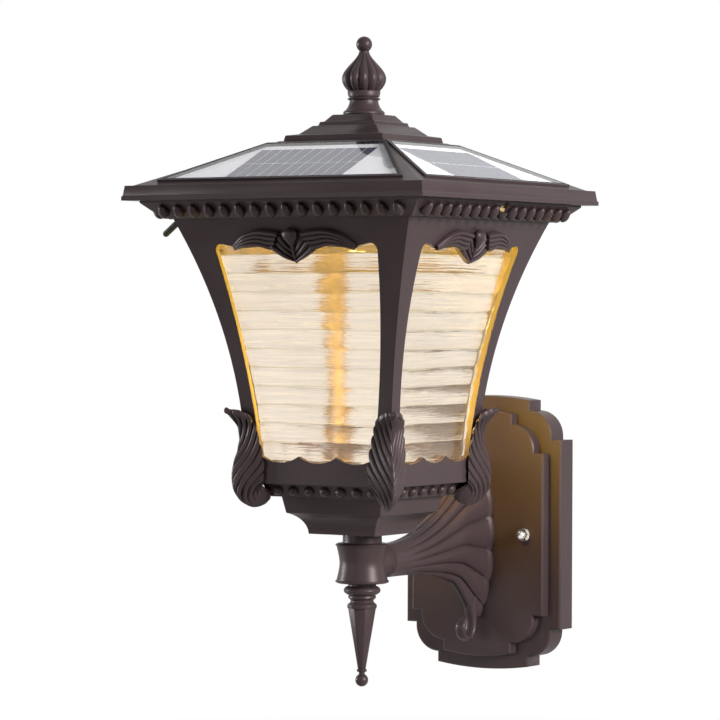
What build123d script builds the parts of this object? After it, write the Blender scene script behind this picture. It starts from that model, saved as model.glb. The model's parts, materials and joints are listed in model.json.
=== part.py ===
from build123d import *
import os
from math import cos, pi, sin, sqrt

# Solar wall lantern in millimetres, +Z up, wall behind at +Y.
# The origin is the centre of the mounting bar's back face, on the wall.

# Place of the lantern on the wall
REACH = 192.5
COLLAR_DROP = 13.5

# Fits, and how far a cut runs past the face that it opens
SEAT_GAP = 0.3
ROD_CLEARANCE = 0.2
HOLE_CLEARANCE = 0.3
CUT = 1.0

# Wall plate
PLATE_HALF_WIDTH = 67.6
PLATE_HALF_HEIGHT = 104.4
PLATE_SHOULDER_HALF = 71.6
PLATE_SHOULDER_STEP = 8.2
PLATE_TAB_HALF = 39.8
PLATE_TAB_BOW = 3.2
PLATE_TAB_STEP = 7.8
PLATE_DEPTH = 19.2
PLATE_WALL = 3.0
PLATE_EDGE = 1.2
PANEL_INSET = 10.2
PANEL_PROUD = 9.0

# Mounting bar, its studs and nuts
BAR_LENGTH = 112.0
BAR_WIDTH = 24.0
BAR_THICKNESS = 2.0
WALL_HOLE_SPACING = 60.0
WALL_HOLE_RADIUS = 2.6
STUD_OFFSET = 41.3
STUD_RADIUS = 2.5
NUT_FLATS = 8.0
NUT_HEX_HEIGHT = 4.0
NUT_DOME_RADIUS = 3.6
NUT_WASHER_RADIUS = 5.2
NUT_WASHER_THICKNESS = 0.8

# Cast arm with its scroll
BOSS_LENGTH = 27.5
BOSS_RADIUS = 12.5
SPIGOT_RADIUS = 8.0
SPIGOT_LENGTH = 9.0
ARM_FLARE_HALF_HEIGHT = 60.0
ARM_FLARE_HALF_WIDTH = 14.6
ARM_FLARE_POWER = 2.3
ARM_LEVEL_SHARE = 0.75
ARM_STATIONS = 7
SCROLL_STROKE = 4.2
SCROLL_RADIUS = 8.6
SCROLL_DROP = 70.5
SCROLL_EYE = 5.2
ARM_SCREW_SPACING = 56.0
ARM_SCREW_RADIUS = 2.5
ARM_SCREW_GRIP = 11.0
SCREW_HEAD_RATIO = 1.8
SCREW_HEAD_HEIGHT = 2.2

# Collar, drop finial and the rod that ties them to the lantern
COLLAR_HEIGHT = 29.0
COLLAR_RIM_RADIUS = 19.5
COLLAR_RIM_HEIGHT = 5.4
COLLAR_WAIST_RADIUS = 16.5
NECK_RADIUS = 14.2
NECK_HEIGHT = 7.0
ROD_RADIUS = 4.0
ROD_IN_FINIAL = 12.0
ROD_NUT_FLATS = 13.0
ROD_NUT_HEIGHT = 6.5
ROD_WASHER_RADIUS = 12.0
ROD_WASHER_THICKNESS = 1.6
DROP_NECK_RADIUS = 10.4
DROP_NECK_HEIGHT = 2.4
DROP_RING_RADIUS = 13.5
DROP_RING_HEIGHT = 5.4
DROP_WAIST_RADIUS = 8.2
DROP_WAIST_HEIGHT = 7.6
SPIKE_RADIUS = 10.8
SPIKE_TIP_RADIUS = 3.2
SPIKE_LENGTH = 46.0
SPIKE_SIDES = 8
DROP_BALL_RADIUS = 4.9
DROP_BALL_NECK = 2.6

# Pan and beaded rail under the lantern
PAN_TOP_HALF = 42.3
PAN_EDGE_HALF = 39.9
PAN_FOOT_HALF = 28.2
PAN_OGEE_HEIGHT = 15.3
PAN_OGEE_HOLLOW = 2.2
PAN_WALL_HEIGHT = 12.0
PAN_WALL = 3.0
PAN_FLOOR = 4.0
RAIL_TOP_HALF = 52.5
RAIL_FOOT_HALF = 47.5
RAIL_HEIGHT = 9.7
RAIL_FLOOR = 3.0
RAIL_BEAD_RADIUS = 3.7
RAIL_BEADS = 7
RAIL_BEAD_PITCH = 13.3
BEAD_SIDES = 8

# Flared lantern sides
SILL_HALF = 60.5
BODY_HEIGHT = 188.7
FLARE_RADIUS = 488.0
FRAME_WALL = 4.0
FOOT_FLANGE = 16.0
FOOT_THICKNESS = 3.0
STILE_FOOT = 13.3
STILE_HEAD = 23.6
SILL_HEIGHT = 20.0
SCALLOP_DEPTH = 4.6
SCALLOPS = 3
HEAD_RAIL = 16.7
WINDOW_CORNER = 5.0
WINDOW_DIP = 3.4
WINDOW_DIP_RUN = 10.0

# Ribbed glass and its clips
GLASS_THICKNESS = 3.0
GLASS_RIB_PITCH = 13.5
GLASS_RIB_RISE = 1.2
GLASS_EDGE_GAP = 6.0
GLASS_TOP_GAP = 12.0
CLIP_WIDTH = 10.0
CLIP_THICKNESS = 1.2
CLIP_FOOT = 5.0
CLIP_LEG = 11.0
CLIP_OFFSET = 28.0

# Crest over each window
CREST_HALF_SPAN = 51.0
CREST_PEAK = 13.0
CREST_PEAK_AT = 28.0
CREST_ROOT = 6.0
CREST_POINT = 14.2
CREST_ARCH = 1.0
CREST_THICKNESS = 3.4
CREST_FEATHERS = 3
CREST_FEATHER_STEP = 3.3
CREST_FEATHER_RISE = 1.0
CREST_KNOB_RADIUS = 5.8
CREST_FAN_HALF = 10.0
CREST_BEHIND = 3.0
CREST_DROP = 18.0

# Leaf on each lower corner
LEAF_HALF_WIDTH = 14.0
LEAF_WRAP = 19.0
LEAF_EDGE = 2.6
LEAF_TIP_HEIGHT = 52.5
LEAF_TIP_OUT = 14.5
LEAF_WAIST_HEIGHT = 34.0
LEAF_WAIST_OUT = 4.9
LEAF_BELLY_HEIGHT = 6.0
LEAF_BELLY_OUT = 10.0
LEAF_HEEL_DROP = 14.5
LEAF_HEEL_IN = 7.6
LEAF_TOE_IN = 12.0
LEAF_TOE_RADIUS = 4.4
LEAF_STATIONS = 9
LEAF_END_SHARE = 0.5
LEAF_SWELL = 0.9
LEAF_WRAP_POWER = 1.5
LEAF_HEEL_RISE = 0.4
LEAF_TIP_LEAN = 0.5

# Ring on top of the sides that the roof slips over
RING_FLANGE = 1.6
RING_WALL = 2.5
RING_HEIGHT = 9.0
RING_IN = 8.0

# Beaded cornice under the eaves
CORNICE_HEIGHT = 12.6
CORNICE_LIP = 4.5
CORNICE_WALL = 3.0
CORNICE_OVERHANG = 9.4
CORNICE_FLANGE = 15.0
CORNICE_BEADS = 16
CORNICE_BEAD_PITCH = 13.0
CORNICE_BEAD_RADIUS = 3.7
CORNICE_BEAD_LENGTH = 11.5
CORNICE_BEAD_PROUD = 2.0
CORNICE_BEAD_DROP = 0.5
CORNICE_SCREW_IN = 12.5

# Hipped roof with its four panels
EAVES_HALF = 125.0
EAVES_HEIGHT = 10.6
EAVES_DRAFT = 1.8
EAVES_LIP_HEIGHT = 2.8
EAVES_LIP_STEP = 0.8
EAVES_LEDGE = 4.0
ROOF_SLOPE = 0.4426
ROOF_TOP_HALF = 44.0
ROOF_SHELL = 4.2
EAVES_WALL = 4.0
SOFFIT_WIDTH = 24.0
SOFFIT_THICKNESS = 3.0
POST_OFFSET = 68.0
POST_RADIUS = 4.5
PANEL_EAVES_GAP = 10.7
PANEL_CAP_GAP = 7.5
PANEL_FOOT_HALF = 99.7
PANEL_HEAD_HALF = 49.6
PANEL_STAND = 1.6
PANEL_RIM = 1.2
PANEL_SEAL = 1.6
PANEL_GLASS = 1.8
PANEL_SHEET = 0.8
PANEL_CELL = 0.3
CELL_COLUMNS = 11
CELL_ROWS = 2
CELL_GAP = 1.2
CELL_BLOCK_WIDTH = 98.0
CELL_BLOCK_HEIGHT = 54.0
CELL_BLOCK_DROP = 2.4

# Stepped cap and top finial
CAP_FOOT_HALF = 42.0
CAP_FOOT_HEIGHT = 4.1
CAP_FOOT_DRAFT = 1.0
CAP_STEP_HALF = 34.0
CAP_STEP_RISE = 1.1
CAP_MID_HALF = 26.9
CAP_MID_RISE = 6.1
CAP_NECK_HALF = 23.9
CAP_NECK_RISE = 2.7
CAP_NECK_DRAFT = 0.8
CAP_SHOULDER_HALF = 20.9
CAP_LEDGE_RISE = 0.25
CAP_TOP_HALF = 16.5
CAP_TOP_RISE = 5.1
CAP_WALL = 3.0
FINIAL_FOOT_RADIUS = 15.0
FINIAL_FOOT_HEIGHT = 2.2
FINIAL_WAIST_RADIUS = 10.2
FINIAL_WAIST_HEIGHT = 11.5
FINIAL_COLLAR_RADIUS = 11.6
FINIAL_COLLAR_HEIGHT = 6.0
FINIAL_COLLAR_LIP = 1.0
FINIAL_BULB_RADIUS = 16.0
FINIAL_BULB_HEIGHT = 28.6
FINIAL_BULB_WIDEST = 0.3
FINIAL_BULB_TUCK = 0.28
FINIAL_BULB_TAPER = 1.7
FINIAL_STATIONS = 7
FINIAL_LOBES = 12
FINIAL_LOBE_DEPTH = 0.11
FINIAL_TIP_RADIUS = 3.6
FINIAL_BALL_RADIUS = 5.8
FINIAL_BALL_SINK = 0.9
FINIAL_STUD_RADIUS = 3.0
FINIAL_STUD_GRIP = 14.0
FINIAL_NUT_FLATS = 10.0
FINIAL_NUT_HEIGHT = 5.0

# Tray in the roof with battery, board and lamps
TRAY_HALF = 84.0
TRAY_THICKNESS = 2.5
TRAY_LIFT = 8.0
TRAY_SCREW_RADIUS = 1.5
TRAY_SCREW_GRIP = 8.0
BATTERY_RADIUS = 9.2
BATTERY_LENGTH = 65.0
HOLDER_WALL = 2.0
HOLDER_OFFSET = 32.0
BOARD_LENGTH = 56.0
BOARD_WIDTH = 34.0
BOARD_THICKNESS = 1.6
BOARD_STANDOFF = 4.0
BOARD_OFFSET = 30.0
COIL_RADIUS = 5.0
COIL_HEIGHT = 6.0
CAPACITOR_RADIUS = 4.0
CAPACITOR_HEIGHT = 11.0
CHIP_HALF = 3.0
CHIP_HEIGHT = 1.6
PLUG_LENGTH = 12.0
PLUG_WIDTH = 6.0
PLUG_HEIGHT = 5.0
LED_BOARD_HALF = 36.0
LED_COUNT = 6
LED_PITCH = 11.0
LED_SIZE = 3.5
LED_HEIGHT = 0.9

# Brass side screws
SIDE_SCREW_RADIUS = 2.0
SIDE_SCREW_HEAD_RADIUS = 3.6
SIDE_SCREW_HEAD_HEIGHT = 2.0
SIDE_SCREW_DROP = 4.2
SIDE_SCREW_SLOT = 0.9
SIDE_SCREW_SLOT_DEPTH = 0.7

# Toggle switch on the left of the cornice
SWITCH_FORWARD = 66.5
SWITCH_RADIUS = 3.0
SWITCH_STICKOUT = 8.5
SWITCH_NUT_FLATS = 8.0
SWITCH_NUT_HEIGHT = 2.0
SWITCH_MOUTH_ROOT = 1.85
SWITCH_MOUTH_RADIUS = 2.65
SWITCH_BODY_LENGTH = 13.0
SWITCH_BODY_WIDTH = 8.0
SWITCH_BODY_DEPTH = 9.0
LEVER_LENGTH = 17.0
LEVER_ROOT_RADIUS = 1.3
LEVER_BALL_RADIUS = 2.0
LEVER_TIP_RADIUS = 2.35
LEVER_NECK = 6.0
LEVER_TILT = 10.0

# Heights that follow from the sizes above
COLLAR_TOP = -COLLAR_DROP + COLLAR_HEIGHT / 2
COLLAR_FOOT = -COLLAR_DROP - COLLAR_HEIGHT / 2
PAN_FOOT = COLLAR_TOP + NECK_HEIGHT
PAN_EDGE = PAN_FOOT + PAN_OGEE_HEIGHT
PAN_TOP = PAN_EDGE + PAN_WALL_HEIGHT
SILL_Z = PAN_TOP + RAIL_HEIGHT
BODY_TOP = SILL_Z + BODY_HEIGHT
WINDOW_FOOT = SILL_Z + SILL_HEIGHT
WINDOW_HEAD = BODY_TOP - HEAD_RAIL
EAVES_FOOT = BODY_TOP + CORNICE_HEIGHT
EAVES_TOP = EAVES_FOOT + EAVES_HEIGHT
EAVES_TOP_HALF = EAVES_HALF - EAVES_DRAFT
SLOPE_FOOT_HALF = EAVES_TOP_HALF - EAVES_LEDGE
ROOF_TOP = EAVES_TOP + (SLOPE_FOOT_HALF - ROOF_TOP_HALF) * ROOF_SLOPE
CAP_NECK_Z = ROOF_TOP + CAP_FOOT_HEIGHT + CAP_STEP_RISE + CAP_MID_RISE + CAP_LEDGE_RISE
CAP_TOP = CAP_NECK_Z + CAP_NECK_RISE + CAP_LEDGE_RISE + CAP_TOP_RISE
TRAY_TOP = BODY_TOP + TRAY_LIFT + TRAY_THICKNESS
PANEL_FRONT = PLATE_DEPTH + PANEL_PROUD
PANEL_DEPTH = PANEL_GLASS + PANEL_SHEET + PANEL_CELL

LANTERN = Pos(0, -REACH, 0)
SIDES = {"front": 0, "right": 90, "back": 180, "left": 270}
CORNERS = {"front_right": 0, "back_right": 90, "back_left": 180, "front_left": 270}


def flare(z, inset=0.0):
    """Half width of the curved lantern side at a height, set in by a wall."""
    return SILL_HALF + FLARE_RADIUS - sqrt((FLARE_RADIUS + inset) ** 2 - (z - SILL_Z) ** 2)


def flare_arc(z_low, z_high, inset=0.0):
    """Curve of the lantern side between two heights, out along the local X."""
    heights = (z_low, (z_low + z_high) / 2, z_high)
    return ThreePointArc(*[(flare(z, inset), z) for z in heights])


def square_form(profile):
    """Square solid whose four sides all follow one half profile of (half width, height)."""
    whole = profile + mirror(profile, Plane.YZ)
    along_x = extrude(Plane.YZ * whole, EAVES_HALF * 2, both=True)
    along_y = extrude(Plane.XZ * whole, EAVES_HALF * 2, both=True)
    return along_x & along_y


def half_profile(*points):
    """Half profile with straight edges, closed along the axis."""
    return make_face(Polyline((0, points[0][1]), *points, (0, points[-1][1]), close=True))


def block(half_x, half_y, z_low, z_high):
    """Upright block about the axis."""
    return Pos(0, 0, (z_low + z_high) / 2) * Box(2 * half_x, 2 * half_y, z_high - z_low)


def rod(radius, z_low, z_high):
    """Upright cylinder about the axis."""
    return Pos(0, 0, (z_low + z_high) / 2) * Cylinder(radius, z_high - z_low)


def turned(*edges):
    """Solid turned about the axis from edges of (radius, height)."""
    return revolve(Plane.XZ * make_face(edges), Axis.Z)


def hexagon(flats, height):
    """Hexagon standing on its plane, sized across the flats."""
    return extrude(RegularPolygon(flats / 2, 6, major_radius=False), height)


def along(plane, shape):
    """Shape carried from the base plane to another plane."""
    return plane.location * shape


def faceted(rings):
    """Faceted solid through polygons of (radius, height) about the axis."""
    return loft([Pos(0, 0, z) * RegularPolygon(r, BEAD_SIDES) for r, z in rings], ruled=True)


def save(name, *solids):
    """Write one node of the assembly."""
    shape = solids[0] if len(solids) == 1 else Compound(list(solids))
    export_step(shape, os.path.join("parts", name + ".step"))


def plate_outline(inset):
    """Stepped outline of the wall plate, with a bowed tab and a quarter round at each corner."""
    tab = PLATE_TAB_HALF - inset
    tab_corner = PLATE_HALF_HEIGHT - PLATE_TAB_BOW - inset
    tab_foot = tab_corner - PLATE_TAB_STEP
    shoulder = PLATE_SHOULDER_HALF - inset
    wide = PLATE_HALF_WIDTH - inset
    turn = wide - PLATE_SHOULDER_STEP - tab
    apex = PLATE_HALF_HEIGHT - inset
    edges = []
    for up in (1, -1):
        edges.append(ThreePointArc((-tab, up * tab_corner), (0, up * apex), (tab, up * tab_corner)))
        for side in (1, -1):
            round_mid = (side * (tab + turn * sin(pi / 4)), up * (tab_foot - turn * (1 - cos(pi / 4))))
            round_end = (side * (tab + turn), up * (tab_foot - turn))
            step = (side * (tab + turn), up * shoulder)
            edges.append(Line((side * tab, up * tab_corner), (side * tab, up * tab_foot)))
            edges.append(ThreePointArc((side * tab, up * tab_foot), round_mid, round_end))
            edges.append(Line(round_end, step))
            edges.append(Line(step, (side * wide, up * shoulder)))
    for side in (1, -1):
        edges.append(Line((side * wide, shoulder), (side * wide, -shoulder)))
    return make_face(edges)


def at_stud(shape):
    """Two copies of a shape at the studs, which stand out from the wall along -Y."""
    return [Pos(side * STUD_OFFSET, 0, 0) * Rot(90, 0, 0) * shape for side in (1, -1)]


def at_arm_screw(shape):
    """Two copies of a shape at the arm screws, along -Y."""
    return [Pos(0, 0, up * ARM_SCREW_SPACING / 2) * Rot(90, 0, 0) * shape for up in (1, -1)]


def make_wall_plate():
    """Hollow stepped plate with a raised panel, drilled for the studs and the arm screws."""
    outer = extrude(Plane.XZ * plate_outline(0), PLATE_DEPTH)
    panel = extrude(Plane.XZ * plate_outline(PANEL_INSET), PANEL_FRONT)
    front = [e for e in outer.edges() if abs(e.center().Y + PLATE_DEPTH) < 0.01]
    panel_front = [e for e in panel.edges() if abs(e.center().Y + PANEL_FRONT) < 0.01]
    plate = chamfer(front, PLATE_EDGE) + chamfer(panel_front, PLATE_EDGE)
    plate -= extrude(Plane.XZ * plate_outline(PLATE_WALL), PLATE_DEPTH - PLATE_WALL)
    plate -= extrude(Plane.XZ * plate_outline(PANEL_INSET + PLATE_WALL), PANEL_FRONT - PLATE_WALL)
    for hole in at_stud(rod(STUD_RADIUS + HOLE_CLEARANCE, 0, PANEL_FRONT + CUT)):
        plate -= hole
    for hole in at_arm_screw(rod(ARM_SCREW_RADIUS + HOLE_CLEARANCE, 0, PANEL_FRONT + CUT)):
        plate -= hole
    return plate


def make_mounting_bar():
    """Flat bar on the wall with two screw holes and two stud holes."""
    outline = RectangleRounded(BAR_LENGTH, BAR_WIDTH, BAR_WIDTH / 4)
    for side in (1, -1):
        outline -= Pos(side * WALL_HOLE_SPACING / 2, 0) * Circle(WALL_HOLE_RADIUS)
        outline -= Pos(side * STUD_OFFSET, 0) * Circle(STUD_RADIUS + ROD_CLEARANCE)
    return extrude(Plane.XZ * outline, BAR_THICKNESS)


def make_studs():
    """Threaded studs headed behind the bar and reaching into the cap nuts."""
    reach = PANEL_FRONT + NUT_WASHER_THICKNESS + NUT_HEX_HEIGHT
    collar = rod(NUT_FLATS / 2, BAR_THICKNESS, BAR_THICKNESS + NUT_HEX_HEIGHT)
    return at_stud(rod(STUD_RADIUS, 0, reach) + collar)


def make_nut_washers():
    """Washers under the cap nuts."""
    ring = rod(NUT_WASHER_RADIUS, PANEL_FRONT, PANEL_FRONT + NUT_WASHER_THICKNESS)
    return at_stud(ring - rod(STUD_RADIUS + ROD_CLEARANCE, 0, PANEL_FRONT + NUT_FLATS))


def make_cap_nuts():
    """Domed cap nuts on the plate's raised panel."""
    seat = PANEL_FRONT + NUT_WASHER_THICKNESS
    nut = Pos(0, 0, seat) * hexagon(NUT_FLATS, NUT_HEX_HEIGHT)
    nut += Pos(0, 0, seat + NUT_HEX_HEIGHT) * Sphere(NUT_DOME_RADIUS)
    return at_stud(nut - rod(STUD_RADIUS + ROD_CLEARANCE, 0, seat + NUT_HEX_HEIGHT + ROD_CLEARANCE))


def make_arm_screws():
    """Screws from inside the plate into the arm."""
    head_seat = PANEL_FRONT - PLATE_WALL
    screw = rod(ARM_SCREW_RADIUS, head_seat, PANEL_FRONT + ARM_SCREW_GRIP)
    screw += rod(ARM_SCREW_RADIUS * SCREW_HEAD_RATIO, head_seat - SCREW_HEAD_HEIGHT, head_seat)
    return at_arm_screw(screw)


def arm_section(share):
    """Upright ellipse of the arm at a share of its length from the collar to the plate."""
    start = -REACH + BOSS_LENGTH
    y = start + (-PANEL_FRONT - start) * share
    rise = share ** ARM_FLARE_POWER
    half_height = BOSS_RADIUS + (ARM_FLARE_HALF_HEIGHT - BOSS_RADIUS) * rise
    half_width = BOSS_RADIUS + (ARM_FLARE_HALF_WIDTH - BOSS_RADIUS) * rise
    z = -COLLAR_DROP * cos(pi / 2 * min(1.0, share / ARM_LEVEL_SHARE))
    return Plane((0, y, z), x_dir=(1, 0, 0), z_dir=(0, -1, 0)) * Ellipse(half_width, half_height)


def make_arm():
    """Trumpet arm from the collar to the plate, with a scrolled tail under it."""
    arm = loft([arm_section(i / (ARM_STATIONS - 1)) for i in range(ARM_STATIONS)])
    spigot = Cylinder(SPIGOT_RADIUS, SPIGOT_LENGTH + BOSS_RADIUS, rotation=(90, 0, 0))
    arm += Pos(0, -REACH + BOSS_LENGTH + (BOSS_RADIUS - SPIGOT_LENGTH) / 2, -COLLAR_DROP) * spigot
    tail_y = -PANEL_FRONT - SCROLL_STROKE - SEAT_GAP
    centre_y = tail_y - SCROLL_RADIUS
    root = (tail_y, -ARM_FLARE_HALF_HEIGHT + SCROLL_RADIUS)
    turn = (tail_y, -SCROLL_DROP)
    bottom = (centre_y, -SCROLL_DROP - SCROLL_RADIUS)
    end = (centre_y - SCROLL_RADIUS, -SCROLL_DROP)
    path = Plane.YZ * (Line(root, turn) + ThreePointArc(turn, bottom, end))
    pen = Plane((0, *root), x_dir=(1, 0, 0), z_dir=(0, 0, -1)) * Circle(SCROLL_STROKE)
    arm += sweep(pen, path=path)
    arm += Pos(0, *end) * Sphere(SCROLL_EYE)
    screw_end = PANEL_FRONT + ARM_SCREW_GRIP + CUT
    for hole in at_arm_screw(rod(ARM_SCREW_RADIUS + ROD_CLEARANCE, 0, screw_end)):
        arm -= hole
    return arm


def make_collar():
    """Waisted spool with a side boss for the arm and a bore for the rod."""
    rim = COLLAR_RIM_RADIUS
    lip = COLLAR_RIM_HEIGHT
    inset = rim - lip / 2
    low = COLLAR_FOOT
    high = COLLAR_TOP
    spool = turned(
        Line((0, low), (inset, low)),
        ThreePointArc((inset, low), (rim, low + lip / 2), (inset, low + lip)),
        ThreePointArc((inset, low + lip), (COLLAR_WAIST_RADIUS, -COLLAR_DROP), (inset, high - lip)),
        ThreePointArc((inset, high - lip), (rim, high - lip / 2), (inset, high)),
        Line((inset, high), (0, high)),
        Line((0, high), (0, low)),
    )
    boss = Pos(0, BOSS_LENGTH / 2, -COLLAR_DROP) * Cylinder(BOSS_RADIUS, BOSS_LENGTH, rotation=(90, 0, 0))
    socket = Cylinder(SPIGOT_RADIUS + ROD_CLEARANCE, SPIGOT_LENGTH + CUT, rotation=(90, 0, 0))
    spool += boss
    spool -= Pos(0, BOSS_LENGTH - (SPIGOT_LENGTH - CUT) / 2, -COLLAR_DROP) * socket
    return spool - rod(ROD_RADIUS + ROD_CLEARANCE, low - CUT, high + CUT)


def make_neck():
    """Short neck between the collar and the pan."""
    tube = rod(NECK_RADIUS, COLLAR_TOP, PAN_FOOT)
    return tube - rod(ROD_RADIUS + ROD_CLEARANCE, COLLAR_TOP - CUT, PAN_FOOT + CUT)


def make_drop_finial():
    """Turned rings, a faceted spike and a ball, screwed to the rod under the collar."""
    top = COLLAR_FOOT
    ring_low = top - DROP_NECK_HEIGHT - DROP_RING_HEIGHT
    spike_top = ring_low - DROP_WAIST_HEIGHT
    ring_mid = (DROP_RING_RADIUS, ring_low + DROP_RING_HEIGHT / 2)
    finial = turned(
        Line((0, top), (DROP_NECK_RADIUS, top)),
        Line((DROP_NECK_RADIUS, top), (DROP_NECK_RADIUS, top - DROP_NECK_HEIGHT)),
        ThreePointArc((DROP_NECK_RADIUS, top - DROP_NECK_HEIGHT), ring_mid, (DROP_NECK_RADIUS, ring_low)),
        ThreePointArc((DROP_NECK_RADIUS, ring_low), (DROP_WAIST_RADIUS, ring_low - DROP_WAIST_HEIGHT / 2),
                      (DROP_NECK_RADIUS, spike_top)),
        Line((DROP_NECK_RADIUS, spike_top), (0, spike_top)),
        Line((0, spike_top), (0, top)),
    )
    spike_low = spike_top - SPIKE_LENGTH
    wide = Pos(0, 0, spike_top) * RegularPolygon(SPIKE_RADIUS, SPIKE_SIDES)
    narrow = Pos(0, 0, spike_low) * RegularPolygon(SPIKE_TIP_RADIUS, SPIKE_SIDES)
    finial += loft([narrow, wide])
    ball_z = spike_low - DROP_BALL_NECK - DROP_BALL_RADIUS
    finial += rod(SPIKE_TIP_RADIUS, ball_z, spike_low)
    finial += Pos(0, 0, ball_z) * Sphere(DROP_BALL_RADIUS)
    return finial - rod(ROD_RADIUS + ROD_CLEARANCE, top - ROD_IN_FINIAL - CUT, top + CUT)


def make_rod():
    """Threaded rod from the drop finial up through the rail."""
    top = SILL_Z + ROD_WASHER_THICKNESS + ROD_NUT_HEIGHT + ROD_RADIUS / 2
    return rod(ROD_RADIUS, COLLAR_FOOT - ROD_IN_FINIAL, top)


def make_rod_washer():
    """Washer on the rail's floor."""
    ring = rod(ROD_WASHER_RADIUS, SILL_Z, SILL_Z + ROD_WASHER_THICKNESS)
    return ring - rod(ROD_RADIUS + ROD_CLEARANCE, SILL_Z - CUT, SILL_Z + ROD_WASHER_RADIUS)


def make_rod_nut():
    """Nut on the rod inside the lantern."""
    seat = SILL_Z + ROD_WASHER_THICKNESS
    nut = Pos(0, 0, seat) * hexagon(ROD_NUT_FLATS, ROD_NUT_HEIGHT)
    return nut - rod(ROD_RADIUS + ROD_CLEARANCE, seat - CUT, seat + 2 * ROD_NUT_HEIGHT)


def make_pan():
    """Hollow square pan with upright sides and a hollow-curved foot."""
    hollow_half = (PAN_FOOT_HALF + PAN_EDGE_HALF) / 2 - PAN_OGEE_HOLLOW
    hollow_z = (PAN_FOOT + PAN_EDGE) / 2 + PAN_OGEE_HOLLOW
    outline = make_face([
        Line((0, PAN_FOOT), (PAN_FOOT_HALF, PAN_FOOT)),
        ThreePointArc((PAN_FOOT_HALF, PAN_FOOT), (hollow_half, hollow_z), (PAN_EDGE_HALF, PAN_EDGE)),
        Line((PAN_EDGE_HALF, PAN_EDGE), (PAN_TOP_HALF, PAN_TOP)),
        Line((PAN_TOP_HALF, PAN_TOP), (0, PAN_TOP)),
        Line((0, PAN_TOP), (0, PAN_FOOT)),
    ])
    pan = square_form(outline)
    pan -= square_form(half_profile(
        (PAN_FOOT_HALF - PAN_WALL, PAN_FOOT + PAN_FLOOR),
        (PAN_EDGE_HALF - 2 * PAN_WALL, PAN_EDGE),
        (PAN_EDGE_HALF - PAN_WALL, PAN_EDGE + PAN_WALL),
        (PAN_TOP_HALF - PAN_WALL, PAN_TOP),
    ))
    return pan - rod(ROD_RADIUS + ROD_CLEARANCE, PAN_FOOT - CUT, PAN_TOP)


def make_rail():
    """Sloping rail with a row of half-round beads on each side, hollow below its floor."""
    rail = square_form(half_profile((RAIL_FOOT_HALF, PAN_TOP), (RAIL_TOP_HALF, SILL_Z)))
    hollow = PAN_TOP_HALF - 2 * PAN_WALL
    rail -= block(hollow, hollow, PAN_TOP - CUT, SILL_Z - RAIL_FLOOR)
    bead_half = (RAIL_FOOT_HALF + RAIL_TOP_HALF) / 2
    bead_z = (PAN_TOP + SILL_Z) / 2
    dome = [(RAIL_BEAD_RADIUS * cos(a), RAIL_BEAD_RADIUS * sin(a)) for a in (-pi / 8, 0, pi / 5, pi * 0.42)]
    bead = Rot(90, 0, 0) * faceted(dome)
    beads = []
    for turn in SIDES.values():
        for i in range(RAIL_BEADS):
            x = (i - (RAIL_BEADS - 1) / 2) * RAIL_BEAD_PITCH
            beads.append(Rot(0, 0, turn) * Pos(x, -bead_half, bead_z) * bead)
    rail = rail.fuse(*beads)
    return rail - rod(ROD_RADIUS + ROD_CLEARANCE, PAN_TOP, SILL_Z + CUT)


def mitre_wedge(set_in=0.0):
    """Upright wedge that keeps one quarter of the lantern, facing -Y."""
    far = EAVES_HALF * 2
    corner = Polyline((0, -set_in), (far, -far - set_in), (-far, -far - set_in), close=True)
    return extrude(make_face(corner), EAVES_TOP)


def window_outline():
    """Window with straight stiles, a head that dips to the crest's tips and a scalloped sill."""
    foot = flare(WINDOW_FOOT) - STILE_FOOT
    head = flare(WINDOW_HEAD) - STILE_HEAD
    run = 2 * foot / SCALLOPS
    edges = [Line((foot, WINDOW_FOOT), (head, WINDOW_HEAD))]
    dip = CREST_HALF_SPAN
    top = Polyline(
        (head, WINDOW_HEAD), (dip, WINDOW_HEAD - WINDOW_DIP), (dip - WINDOW_DIP_RUN, WINDOW_HEAD),
        (WINDOW_DIP_RUN - dip, WINDOW_HEAD), (-dip, WINDOW_HEAD - WINDOW_DIP), (-head, WINDOW_HEAD))
    edges += top.edges()
    edges.append(Line((-head, WINDOW_HEAD), (-foot, WINDOW_FOOT)))
    for i in range(SCALLOPS):
        left = -foot + i * run
        low = (left + run / 2, WINDOW_FOOT - SCALLOP_DEPTH)
        edges.append(ThreePointArc((left, WINDOW_FOOT), low, (left + run, WINDOW_FOOT)))
    face = make_face(edges)
    upper = [v for v in face.vertices() if v.Y > WINDOW_HEAD - SEAT_GAP and abs(v.X) > dip]
    return fillet(upper, WINDOW_CORNER)


def make_side_frame():
    """Curved casting of one side, mitred at the corners, with a foot flange and a window."""
    flange_half = SILL_HALF - FOOT_FLANGE
    flange_top = SILL_Z + FOOT_THICKNESS
    profile = make_face([
        flare_arc(SILL_Z, BODY_TOP),
        Line((flare(BODY_TOP), BODY_TOP), (flare(BODY_TOP, FRAME_WALL), BODY_TOP)),
        flare_arc(flange_top, BODY_TOP, FRAME_WALL),
        Line((flare(flange_top, FRAME_WALL), flange_top), (flange_half, flange_top)),
        Line((flange_half, flange_top), (flange_half, SILL_Z)),
        Line((flange_half, SILL_Z), (SILL_HALF, SILL_Z)),
    ])
    plate = extrude(Plane.YZ * mirror(profile, Plane.YZ), EAVES_HALF, both=True)
    return (plate & mitre_wedge()) - extrude(Plane.XZ * window_outline(), EAVES_HALF)


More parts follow.
